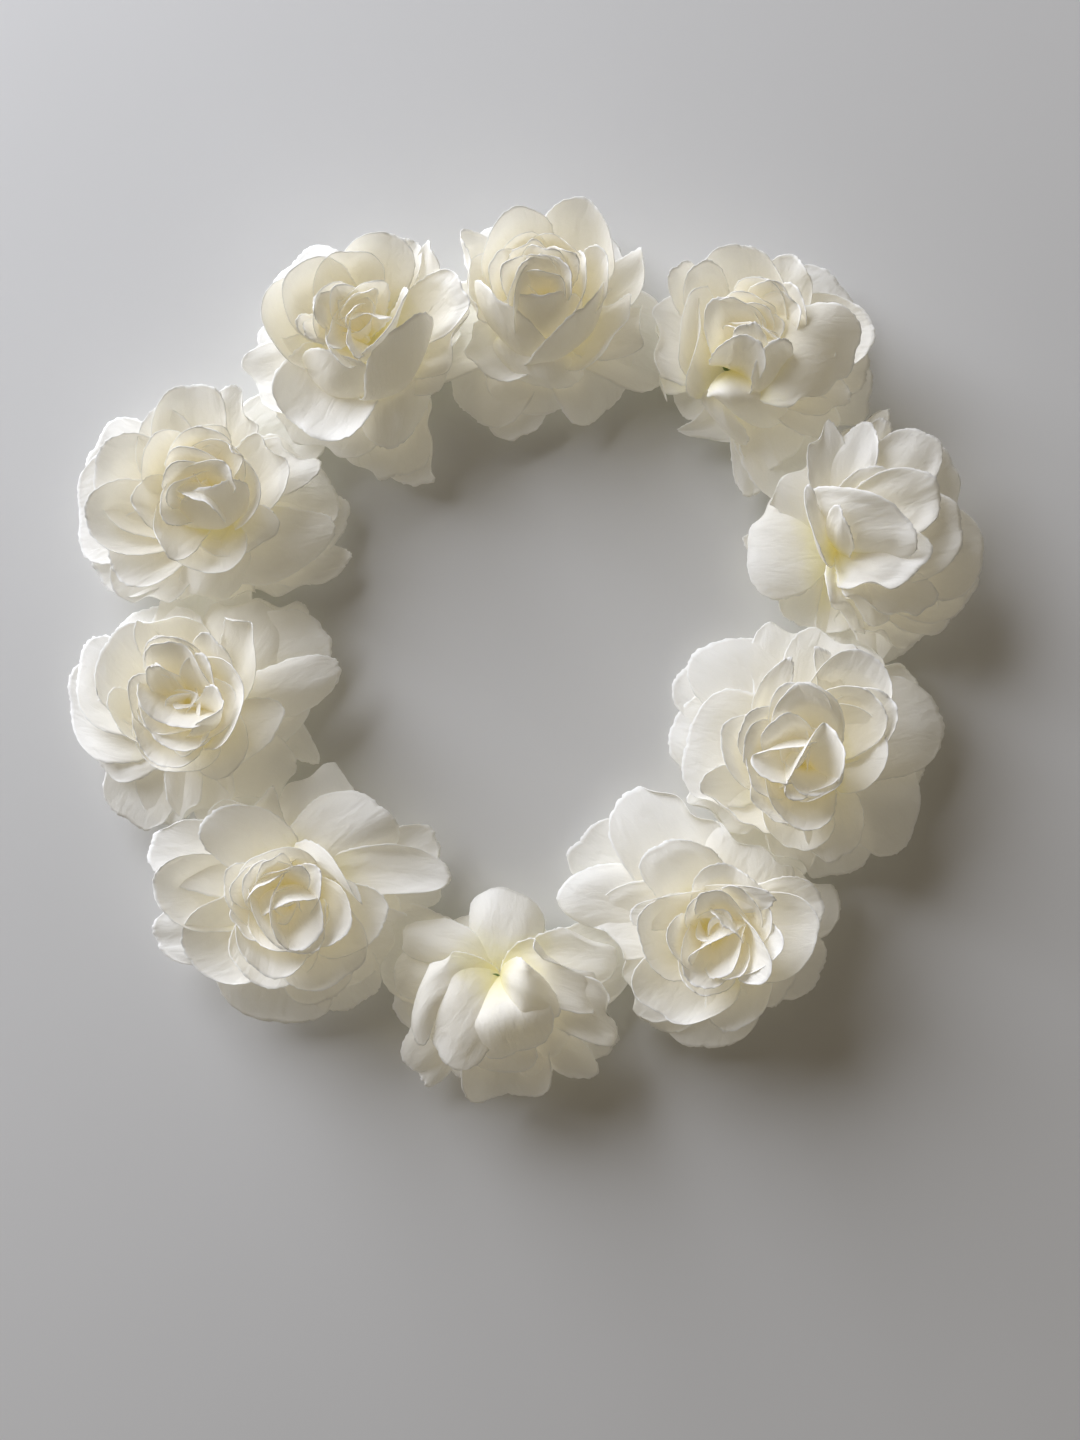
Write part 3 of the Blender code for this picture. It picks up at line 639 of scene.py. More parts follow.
        ("o", (19.0, 8.0, 15.0), (7.0, 5.5, 17.0), 16.5, dict(cup=-26, curl=-1.8, lump=1.2)),
        ("o", (9.0, -12.0, 18.0), (0.5, -7.5, 18.0), 18.0, dict(cup=-28, curl=-1.8, lump=1.2)),
        ("o", (24.0, -4.5, 11.0), (11.0, -4.0, 14.0), 20.0, dict(cup=-28, curl=-1.8, lump=1.2)),
        ("o", (30.5, -13.5, 1.0), (16.0, -8.5, 9.0), 22.0, dict(cup=-30, curl=-1.6)),
        ("o", (26.5, -23.0, -5.0), (12.0, -15.5, 3.0), 17.5, dict(cup=-30, curl=-1.5)),
        ("o", (-8.0, -26.5, 2.0), (-11.0, -15.0, 11.0), 8.5, dict(cup=-9, roll=-30)),
        ("o", (-3.0, -26.5, 6.0), (-5.0, -16.5, 13.0), 9.5, dict(cup=-10, roll=-20)),
        ("o", (10.0, -23.5, 8.0), (1.0, -16.0, 13.0), 15.0, dict(cup=-24, curl=-1.6)),
        ("o", (19.5, -28.0, -6.0), (8.5, -18.5, 2.0), 15.0, dict(cup=-26, curl=-1.4)),
    ]),
    # rose 05
    ((0.0, 0.0, 0.0), (-6.5, 1.5, 26.0), [
        ("g", (-35.5, 20.0, 2.0), (-19.5, 14.0, 4.0), 22.5, dict(cup=-50)),
        ("g", (-30.5, -8.0, 4.0), (-19.0, -4.0, 4.0), 27.5, dict(cup=60, lump=1)),
        ("g", (-35.5, -3.5, -4.0), (-22.0, -1.5, -2.0), 20.5, dict(cup=60)),
        ("g", (-39.0, 10.5, -4.0), (-23.0, 8.0, -2.0), 17.5, dict(cup=60)),
        ("g", (-19.5, -30.0, -1.0), (-11.5, -16.5, 1.0), 16.0, dict(cup=40)),
        ("g", (-18.0, 38.0, 1.0), (-10.0, 21.5, 3.0), 20.5, dict(cup=40)),
        ("g", (-7.5, 38.0, 5.0), (-4.0, 20.5, 5.0), 18.0, dict(cup=40)),
        ("g", (2.0, 39.0, 3.0), (1.0, 22.5, 4.0), 18.0, dict(cup=40)),
        ("g", (17.0, 41.0, -4.0), (9.5, 23.0, -2.0), 19.5, dict(cup=50)),
        ("g", (30.5, 29.0, 2.0), (18.0, 19.0, 4.0), 24.0, dict(cup=-80, lump=0.6)),
        ("g", (38.5, -2.0, -1.0), (19.5, 2.0, 3.0), 24.5, dict(cup=-60)),
        ("g", (33.0, 15.0, -2.0), (19.0, 9.0, 0.0), 17.0, dict(cup=60)),
        ("g", (23.0, -25.0, -3.0), (12.5, -15.0, 1.0), 24.5, dict(cup=50)),
        ("o", (-19.0, -21.0, 11.0), (-9.5, -15.0, 5.0), 20.5, dict(cup=16)),
        ("o", (3.5, 31.5, 22.0), (3.5, 20.0, 10.0), 24.5, dict(cup=12, curl=2.6)),
        ("i", (11.0, 23.0, 25.0), (9.0, 17.0, 12.0), 18.5, dict(cup=10, curl=2.2)),
        ("o", (14.5, 15.0, 20.0), (10.5, 10.0, 8.0), 24.0, dict(cup=14, curl=1)),
        ("o", (20.5, -19.0, 11.0), (14.0, -9.5, 6.0), 16.0, dict(cup=13, curl=0.8)),
        ("o", (8.0, -21.5, 11.0), (5.0, -13.5, 5.0), 18.0, dict(cup=14)),
        ("o", (-22.5, -2.5, 24.0), (-14.5, -1.5, 11.0), 24.0, dict(cup=11, curl=2, ruffle=2)),
        ("i", (8.0, 23.0, 25.0), (5.5, 17.0, 12.0), 20.0, dict(cup=13)),
        ("i", (-9.0, 30.0, 20.0), (-1.5, 20.5, 14.0), 8.0, dict(cup=8, roll=20)),
        ("i", (-17.0, 21.0, 24.0), (-15.5, 10.5, 14.0), 9.0, dict(cup=8, roll=-20, point=2)),
        ("i", (1.0, -17.5, 20.0), (0.5, -11.5, 10.0), 23.0, dict(cup=13)),
        ("i", (-12.0, 16.5, 29.0), (-7.5, 10.5, 16.0), 20.0, dict(cup=9, curl=2.6)),
        ("i", (-20.0, 3.5, 27.0), (-13.5, 2.0, 16.0), 17.5, dict(cup=9, curl=2.2, ruffle=2)),
        ("i", (-7.0, -16.5, 25.0), (-4.5, -10.0, 14.0), 17.0, dict(cup=10, curl=1.8, ruffle=2)),
        ("i", (6.0, 2.5, 28.0), (4.5, 0.0, 15.0), 19.0, dict(cup=11)),
        ("i", (-13.5, -8.5, 26.0), (-8.0, -6.0, 14.0), 16.0, dict(cup=10)),
        ("c", (-14.5, -4.0, 27.0), (-10.0, 1.0, 20.0), 14.0, dict(cup=7, fold=0.9)),
        ("c", (-1.5, 11.0, 28.0), (-2.0, 4.5, 20.0), 15.5, dict(cup=7, fold=0.9)),
        ("c", (-3.5, -8.5, 26.0), (-5.5, -3.5, 19.0), 12.5, dict(cup=7, fold=0.8)),
        ("c", (-9.5, 15.5, 29.0), (-5.5, 10.5, 19.0), 22.0, dict(cup=11, curl=3.5)),
        ("c", (-14.0, 6.5, 28.0), (-9.0, 4.5, 20.0), 15.0, dict(cup=8, curl=1.5)),
        ("c", (6.0, 1.0, 27.0), (4.0, 1.0, 17.0), 22.0, dict(cup=11, curl=1.4)),
        ("c", (0.5, -15.0, 24.0), (0.0, -9.5, 14.0), 24.0, dict(cup=13, curl=1.6)),
        ("c", (-18.5, -1.0, 27.0), (-12.5, 0.0, 18.0), 17.0, dict(cup=9, curl=1.8, ruffle=1.4)),
        ("c", (2.5, -6.0, 26.0), (0.5, -3.0, 18.0), 15.0, dict(cup=8, curl=1)),
    ]),
    # rose 06
    ((0.0, 0.0, 0.0), (-2.5, 0.5, 25.0), [
        ("g", (-43.5, 3.5, 1.0), (-21.5, 3.0, 4.0), 24.0, dict(cup=50)),
        ("g", (-41.0, -18.5, -5.0), (-23.5, -8.5, -2.0), 19.0, dict(cup=60)),
        ("g", (-29.0, -33.0, 3.0), (-19.5, -18.5, 5.0), 19.0, dict(cup=-30, lump=1)),
        ("g", (-19.0, -27.5, 5.0), (-13.0, -15.5, 5.0), 18.5, dict(cup=24)),
        ("g", (-19.0, 25.0, 8.0), (-9.0, 14.5, 7.0), 24.5, dict(cup=-40)),
        ("g", (10.5, 36.5, -2.0), (6.0, 20.5, 0.0), 20.0, dict(cup=50)),
        ("g", (28.5, -20.0, -4.0), (15.5, -9.5, -1.0), 22.0, dict(cup=50)),
        ("g", (2.5, -34.0, -1.0), (2.5, -18.5, 2.0), 22.0, dict(cup=40)),
        ("g", (14.0, -29.5, -3.0), (7.5, -16.5, 0.0), 17.5, dict(cup=40)),
        ("g", (28.0, 18.5, 1.0), (16.0, 10.5, 3.0), 18.0, dict(cup=30)),
        ("o", (-28.0, 0.0, 14.0), (-15.5, 2.0, 9.0), 17.5, dict(cup=22, curl=1.5)),
        ("o", (-17.5, -13.0, 20.0), (-11.0, -2.5, 12.0), 16.0, dict(cup=12, roll=-15)),
        ("o", (-12.5, 13.0, 23.0), (-5.5, 8.0, 13.0), 19.5, dict(cup=14, curl=2)),
        ("o", (-11.0, -18.0, 21.0), (-6.0, -11.5, 10.0), 23.5, dict(cup=14)),
        ("o", (8.5, 28.0, 11.0), (6.0, 16.5, 6.0), 17.5, dict(cup=18)),
        ("o", (14.0, 21.5, 18.0), (11.0, 14.0, 8.0), 24.0, dict(cup=15, curl=1)),
        ("o", (25.5, 8.0, 7.0), (15.0, 7.0, 5.0), 17.0, dict(cup=18)),
        ("o", (10.0, -24.5, 16.0), (9.0, -15.0, 6.0), 26.5, dict(cup=16, curl=1)),
        ("o", (25.0, -7.5, 13.0), (17.0, -2.0, 6.0), 18.5, dict(cup=14, curl=1)),
        ("i", (-3.0, 15.5, 29.0), (-7.5, 8.5, 21.0), 11.5, dict(cup=12, roll=-20)),
        ("i", (8.5, 9.5, 28.0), (8.5, 5.0, 16.0), 19.0, dict(cup=10, curl=2)),
        ("i", (8.5, -12.0, 23.0), (6.0, -8.0, 12.0), 17.0, dict(cup=11)),
        ("i", (-6.0, -12.0, 27.0), (-2.0, -8.0, 14.0), 16.0, dict(cup=10)),
        ("i", (10.0, -2.0, 26.0), (7.5, -0.5, 15.0), 11.5, dict(cup=9)),
        ("i", (-12.0, 1.0, 26.0), (-6.5, 1.0, 15.0), 13.5, dict(cup=9)),
        ("c", (-1.0, 3.0, 27.0), (-2.5, 5.5, 19.0), 13.0, dict(cup=9, curl=0.8)),
        ("c", (-0.5, -5.0, 27.0), (-2.0, 0.0, 18.0), 17.5, dict(cup=10, curl=0.8)),
        ("c", (5.0, -11.5, 25.0), (2.5, -5.0, 16.0), 16.5, dict(cup=10, curl=1)),
        ("c", (9.5, 4.5, 28.0), (5.5, 8.0, 18.0), 23.0, dict(cup=8, curl=3)),
        ("c", (-0.5, 15.5, 27.0), (1.0, 12.0, 19.0), 15.0, dict(cup=9)),
        ("c", (-7.0, 12.0, 28.0), (-2.5, 10.5, 19.0), 15.0, dict(cup=9)),
        ("c", (-10.5, 4.0, 27.0), (-5.5, 5.0, 19.0), 13.0, dict(cup=9)),
        ("c", (7.5, -2.5, 26.0), (4.5, 1.5, 17.0), 16.0, dict(cup=10, curl=1)),
    ]),
    # rose 07
    ((-4.5, -1.0, 0.0), (23.5, 2.5, 8.0), [
        ("g", (-28.5, 0.5, -5.0), (-14.5, 0.0, 3.0), 19.5, dict(cup=-16, lump=0.8)),
        ("g", (-18.5, -14.0, -7.0), (-12.0, -5.0, -3.0), 16.0, dict(cup=-40)),
        ("g", (-17.5, 11.0, -8.0), (-11.0, 5.0, -5.0), 15.0, dict(cup=50)),
        ("g", (-13.5, -30.0, -2.0), (-11.5, -16.5, 2.0), 11.5, dict(cup=-14)),
        ("g", (-1.0, -32.0, -3.0), (-4.0, -18.0, 0.0), 13.0, dict(cup=-30)),
        ("g", (-12.0, 31.0, -3.0), (-10.0, 18.0, 0.0), 15.0, dict(cup=30)),
        ("g", (15.5, 32.5, -7.0), (10.5, 20.5, -2.0), 13.0, dict(cup=30)),
        ("g", (11.0, -29.0, -8.0), (5.0, -17.5, -4.0), 17.0, dict(cup=40)),
        ("o", (12.5, -24.5, 8.0), (-1.0, -19.0, 16.0), 13.5, dict(cup=-12)),
        ("o", (16.0, -16.0, 10.0), (3.0, -9.0, 17.0), 19.0, dict(cup=-26, curl=-1)),
        ("i", (1.5, 15.5, 14.0), (-4.0, 6.0, 22.0), 13.0, dict(cup=-11, curl=0.4)),
        ("o", (15.5, 6.0, 12.0), (4.5, 2.0, 20.0), 20.0, dict(cup=-24, curl=-0.3)),
        ("o", (-3.5, 26.0, 8.0), (-7.5, 15.5, 11.0), 17.5, dict(cup=13)),
        ("o", (7.0, 34.0, 2.0), (1.0, 20.5, 9.0), 14.0, dict(cup=24, curl=-1.5)),
        ("o", (23.5, 27.0, -4.0), (15.0, 17.0, 3.0), 9.5, dict(cup=-14)),
        ("o", (25.0, -25.5, -4.0), (16.5, -19.0, 2.0), 11.5, dict(cup=-16)),
        ("o", (29.0, -20.5, -7.0), (20.0, -16.0, -2.0), 8.5, dict(cup=-14)),
        ("o", (27.5, -10.0, -4.0), (15.5, -8.0, 4.0), 14.5, dict(cup=-20)),
        ("o", (21.5, 1.0, 5.0), (12.5, -2.0, 12.0), 20.5, dict(cup=-24, curl=-1)),
        ("o", (32.0, 3.5, -5.0), (19.5, 2.0, 1.0), 21.5, dict(cup=20)),
        ("o", (26.5, 12.5, -4.0), (16.5, 9.5, 4.0), 9.5, dict(cup=-14)),
        ("o", (18.0, 17.5, 0.0), (12.0, 12.5, 6.0), 14.0, dict(cup=-20)),
    ]),
    # rose 08
    ((0.0, 0.0, 0.0), (-0.5, 1.5, 26.0), [
        ("g", (-31.5, -21.0, 0.0), (-21.5, -11.0, 4.0), 20.0, dict(cup=-60, point=5)),
        ("g", (-35.0, 1.0, 7.0), (-20.5, -1.0, 9.0), 22.0, dict(cup=-22, lump=1)),
        ("g", (-38.5, 19.0, -1.0), (-26.0, 13.5, 4.0), 12.5, dict(cup=40)),
        ("g", (-33.0, 26.5, 3.0), (-23.0, 14.0, 7.0), 12.0, dict(cup=16, curl=-1)),
        ("g", (-26.0, 33.5, -3.0), (-16.5, 21.0, -1.0), 17.5, dict(cup=50)),
        ("g", (-7.5, 32.5, 2.0), (-1.0, 22.0, 4.0), 23.5, dict(cup=40)),
        ("g", (30.5, 20.0, -2.0), (19.5, 11.0, 2.0), 28.0, dict(cup=50)),
        ("g", (10.5, 35.5, -1.0), (7.0, 22.0, 2.0), 18.0, dict(cup=40)),
        ("g", (36.5, -19.0, 2.0), (24.0, -10.5, 3.0), 15.0, dict(cup=30)),
        ("g", (-13.5, -33.0, 12.0), (-6.0, -23.5, 9.0), 18.5, dict(cup=-30, square=0.6)),
        ("g", (16.0, -38.0, 7.0), (9.5, -27.0, 7.0), 16.5, dict(cup=24)),
        ("o", (-13.0, 12.5, 20.0), (-12.5, 1.0, 15.0), 13.0, dict(cup=-16)),
        ("o", (-3.0, -30.0, 17.0), (-4.5, -19.5, 12.0), 17.0, dict(cup=18, roll=10)),
        ("o", (21.5, -27.0, 15.0), (17.0, -20.0, 6.0), 21.5, dict(cup=12, curl=1.5)),
        ("o", (31.0, -8.0, 10.0), (21.0, -3.5, 5.0), 23.0, dict(cup=16)),
        ("o", (21.5, 10.0, 13.0), (14.5, 7.0, 6.0), 23.0, dict(cup=15, curl=1)),
        ("o", (15.0, 26.5, 6.0), (8.5, 17.5, 5.0), 18.5, dict(cup=16)),
        ("o", (-12.5, 23.5, 16.0), (-5.0, 15.5, 7.0), 20.5, dict(cup=14, curl=1)),
        ("o", (5.0, 26.5, 16.0), (4.0, 16.0, 7.0), 25.0, dict(cup=15, curl=1)),
        ("o", (-4.5, -11.5, 22.0), (-2.5, -8.5, 12.0), 24.0, dict(cup=14, curl=2)),
        ("i", (-6.5, 16.5, 24.0), (-4.0, 10.0, 13.0), 18.5, dict(cup=11, curl=1.5)),
        ("i", (7.0, 10.0, 24.0), (5.0, 6.0, 12.0), 23.0, dict(cup=13, curl=1)),
        ("i", (12.0, 11.0, 19.0), (8.5, 7.5, 8.0), 23.0, dict(cup=14, curl=1)),
        ("i", (-1.5, -11.0, 26.0), (0.0, -5.5, 14.0), 16.5, dict(cup=10)),
        ("i", (7.0, -14.5, 23.0), (6.0, -7.0, 12.0), 16.5, dict(cup=11)),
        ("i", (12.0, -4.0, 23.0), (8.5, -2.0, 12.0), 16.0, dict(cup=11)),
        ("i", (-11.0, 3.5, 26.0), (-4.5, 3.0, 15.0), 13.5, dict(cup=10)),
        ("c", (0.5, -6.5, 28.0), (-1.5, -8.0, 20.0), 14.5, dict(cup=9, curl=0.8)),
        ("c", (-2.0, 2.0, 28.0), (-2.0, -3.0, 20.0), 19.5, dict(cup=10, curl=0.8)),
        ("c", (5.0, 2.5, 28.0), (2.0, -2.0, 18.0), 23.0, dict(cup=11, curl=1)),
        ("c", (7.0, 9.0, 26.0), (4.0, 2.0, 16.0), 25.5, dict(cup=12, curl=1.5)),
        ("c", (16.0, 8.0, 23.0), (11.0, 3.0, 13.0), 23.5, dict(cup=13, curl=1.5)),
        ("c", (-0.5, 12.5, 26.0), (-1.0, 4.5, 17.0), 17.5, dict(cup=11, curl=1)),
        ("c", (3.5, -12.0, 26.0), (2.0, -10.0, 18.0), 15.0, dict(cup=9)),
        ("c", (-10.0, -4.5, 28.0), (-5.5, -5.0, 20.0), 14.5, dict(cup=8)),
        ("c", (-6.5, -9.5, 28.0), (-3.5, -8.0, 20.0), 11.5, dict(cup=8)),
    ]),
    # rose 09
    ((0.0, 0.0, 0.0), (-2.5, -1.5, 26.0), [
        ("g", (-42.5, -3.5, 4.0), (-27.5, 0.0, 7.0), 13.0, dict(cup=-14)),
        ("g", (-39.0, -14.5, -2.0), (-22.5, -9.5, 1.0), 19.5, dict(cup=-60, square=0.6)),
        ("g", (-32.0, 5.5, 0.0), (-19.0, 8.0, 3.0), 14.5, dict(cup=-30)),
        ("g", (-30.0, 19.0, -5.0), (-21.5, 9.0, -2.0), 9.5, dict(cup=30, point=3)),
        ("g", (-26.5, -26.5, 0.0), (-13.5, -12.5, 3.0), 21.0, dict(cup=-50)),
        ("g", (-34.5, -25.0, -5.0), (-19.5, -15.5, -2.0), 16.0, dict(cup=60)),
        ("g", (-20.5, 28.0, -2.0), (-11.5, 15.5, 1.0), 17.5, dict(cup=30)),
        ("g", (28.0, -18.0, 4.0), (18.0, -9.0, 4.0), 20.5, dict(cup=30)),
        ("g", (33.5, -8.5, 1.0), (21.5, -2.5, 2.0), 23.0, dict(cup=40)),
        ("g", (29.5, 6.0, 1.0), (19.5, 4.0, 3.0), 21.0, dict(cup=30)),
        ("g", (25.5, 28.0, -3.0), (15.0, 14.5, 0.0), 18.0, dict(cup=40)),
        ("g", (14.0, 30.5, -1.0), (9.0, 16.0, 2.0), 16.0, dict(cup=40)),
        ("g", (3.5, 32.5, -1.0), (1.5, 17.0, 2.0), 15.5, dict(cup=30)),
        ("g", (7.5, -30.0, -2.0), (3.0, -16.0, 2.0), 20.0, dict(cup=40)),
        ("o", (-22.5, -21.5, 20.0), (-16.5, -8.0, 10.0), 13.5, dict(cup=12, curl=0.5)),
        ("o", (-23.0, 11.0, 11.0), (-13.0, 11.0, 6.0), 21.0, dict(cup=16, curl=1)),
        ("o", (16.5, -21.5, 13.0), (10.0, -10.0, 7.0), 23.5, dict(cup=15)),
        ("o", (17.5, 0.0, 17.0), (11.5, 4.5, 7.0), 20.0, dict(cup=14)),
        ("o", (4.5, 17.0, 15.0), (4.5, 9.0, 6.0), 23.5, dict(cup=15)),
        ("o", (-1.5, -27.5, 18.0), (-3.0, -13.5, 8.0), 20.0, dict(cup=14)),
        ("o", (-11.5, 18.0, 14.0), (-7.5, 10.5, 6.0), 16.5, dict(cup=14)),
        ("i", (-15.0, -16.0, 25.0), (-10.0, -6.0, 14.0), 14.0, dict(cup=10, roll=10)),
        ("i", (-3.0, -18.0, 26.0), (-2.0, -8.5, 13.0), 17.0, dict(cup=11)),
        ("i", (9.0, -7.0, 26.0), (5.5, -2.5, 14.0), 16.0, dict(cup=9, roll=-15)),
        ("i", (7.0, 4.0, 25.0), (3.5, 3.5, 14.0), 16.0, dict(cup=9)),
        ("i", (-15.5, 2.0, 25.0), (-8.0, 2.5, 13.0), 16.5, dict(cup=10)),
        ("i", (-4.0, 11.5, 24.0), (-2.5, 6.5, 13.0), 13.5, dict(cup=9)),
        ("i", (2.0, -11.0, 28.0), (1.0, -8.0, 20.0), 6.0, dict(cup=6)),
        ("c", (-5.0, -15.5, 28.0), (-4.5, -7.5, 18.0), 20.5, dict(cup=12, curl=0.6)),
        ("c", (-15.0, 1.0, 30.0), (-10.5, 6.0, 21.0), 14.5, dict(cup=5, fold=0.4, curl=0.2)),
        ("c", (2.0, 3.5, 28.0), (0.0, 0.5, 19.0), 23.0, dict(cup=14, curl=0.8)),
        ("c", (6.0, 5.5, 26.0), (3.0, 1.5, 16.0), 24.5, dict(cup=15, curl=0.8)),
        ("c", (9.0, 9.0, 23.0), (5.5, 3.5, 13.0), 24.5, dict(cup=16, curl=1)),
        ("c", (-19.5, 1.0, 29.0), (-13.0, 1.0, 18.0), 25.5, dict(cup=15, curl=0.6)),
        ("c", (2.5, -10.5, 28.0), (2.0, -7.5, 21.0), 6.5, dict(cup=6)),
        ("c", (-3.5, -18.5, 28.0), (-3.5, -13.0, 18.0), 17.0, dict(cup=10, ruffle=1.8)),
        ("c", (-11.5, -9.5, 28.0), (-8.5, -5.0, 20.0), 13.0, dict(cup=9)),
    ]),
    # rose 10
    ((0.0, 0.0, 0.0), (3.0, -1.0, 26.0), [
        ("g", (-32.5, -1.5, 2.0), (-18.0, 4.5, 5.0), 21.5, dict(cup=-50, lump=0.7)),
        ("g", (-34.5, -11.0, -3.0), (-21.5, -2.0, 0.0), 18.0, dict(cup=-60)),
        ("g", (-39.5, 0.5, -5.0), (-24.5, 5.5, -2.0), 13.0, dict(cup=60)),
        ("g", (-26.0, -19.0, -2.0), (-12.0, -12.5, 0.0), 22.5, dict(cup=50)),
        ("g", (-20.0, -25.0, 3.0), (-10.5, -15.0, 4.0), 14.0, dict(cup=40)),
        ("g", (-8.5, 28.5, 4.0), (-8.5, 17.5, 8.0), 16.0, dict(cup=-16, lump=1)),
        ("g", (-31.0, 19.0, -5.0), (-14.5, 10.0, -2.0), 17.0, dict(cup=50)),
        ("g", (11.0, 35.5, 2.0), (8.0, 25.5, 4.0), 18.0, dict(cup=20)),
        ("g", (34.0, 19.0, 3.0), (23.0, 11.0, 4.0), 26.5, dict(cup=30)),
        ("g", (23.0, 31.5, -1.0), (14.0, 20.5, 2.0), 20.0, dict(cup=30)),
        ("g", (39.0, -1.5, -2.0), (23.5, -0.5, 2.0), 20.0, dict(cup=40)),
        ("o", (30.0, 5.0, 14.0), (21.0, 4.5, 7.0), 25.5, dict(cup=16, curl=1)),
        ("o", (16.0, -26.5, 16.0), (13.0, -15.5, 8.0), 19.0, dict(cup=15)),
        ("o", (5.0, -32.5, 8.0), (3.5, -20.0, 6.0), 13.0, dict(cup=16)),
        ("o", (23.0, -13.0, 14.0), (17.5, -8.0, 7.0), 16.5, dict(cup=14)),
        ("o", (-10.5, -11.0, 23.0), (-5.0, -7.0, 9.0), 25.0, dict(cup=13, curl=0.6)),
        ("o", (-12.5, -20.5, 12.0), (-8.5, -10.5, 6.0), 17.5, dict(cup=15, curl=1)),
        ("o", (-19.0, 4.5, 12.0), (-9.0, 4.5, 6.0), 18.0, dict(cup=14, curl=1)),
        ("o", (14.5, 28.0, 12.0), (10.0, 17.5, 6.0), 18.0, dict(cup=14)),
        ("o", (25.5, 18.5, 18.0), (16.5, 13.0, 8.0), 19.0, dict(cup=14)),
        ("o", (-7.0, 18.5, 17.0), (-3.0, 11.5, 7.0), 23.0, dict(cup=15)),
        ("i", (-3.5, -3.5, 27.0), (-5.0, 7.0, 12.0), 20.0, dict(cup=12, curl=0.5)),
        ("i", (16.5, -6.5, 26.0), (14.0, -5.0, 13.0), 18.5, dict(cup=11)),
        ("i", (5.5, -17.5, 25.0), (6.5, -10.5, 12.0), 16.0, dict(cup=10)),
        ("i", (-4.0, -14.0, 26.0), (-1.0, -7.5, 14.0), 15.0, dict(cup=9)),
        ("i", (13.0, 9.0, 24.0), (10.0, 6.5, 12.0), 16.0, dict(cup=11)),
        ("i", (2.5, 16.0, 23.0), (4.5, 10.0, 12.0), 16.0, dict(cup=11)),
        ("c", (3.0, -15.5, 30.0), (4.0, -11.5, 20.0), 20.0, dict(cup=10, curl=1)),
        ("c", (5.0, -9.5, 30.0), (4.0, -8.0, 20.0), 17.5, dict(cup=10, curl=0.8)),
        ("c", (6.0, -4.0, 29.0), (5.0, -4.0, 20.0), 16.0, dict(cup=10, curl=0.8)),
        ("c", (5.0, 1.0, 28.0), (4.5, -1.5, 20.0), 14.5, dict(cup=10, curl=0.8)),
        ("c", (-4.0, -15.0, 30.0), (0.5, -11.0, 20.0), 14.5, dict(cup=9)),
        ("c", (7.0, 6.0, 26.0), (6.0, 1.5, 18.0), 17.0, dict(cup=10, curl=1)),
        ("c", (-4.0, 2.5, 29.0), (0.0, -2.5, 20.0), 17.0, dict(cup=9)),
        ("c", (-5.0, -8.0, 31.0), (-0.5, -6.5, 21.0), 15.5, dict(cup=9)),
    ]),
]

# Buds: how open each is, how crumpled, and how many of its petals are folded lengthwise like boats.
BUDS = [(0.7, 1.3, 1), (0.4, 0.9, 0), (0.8, 1.2, 1), (0.6, 1.0, 0), (0.6, 1.0, 4), (0.35, 1.0, 0), (0.5, 1.0, 0), (0.35, 1.0, 0), (0.7, 1.1, 4), (0.5, 1.1, 2)]
CORES = [5, 5, 5, 6, 4, 4, 6, 4, 4, 4]
KINDS = {"g": "guard", "o": "outer", "i": "inner", "c": "centre"}


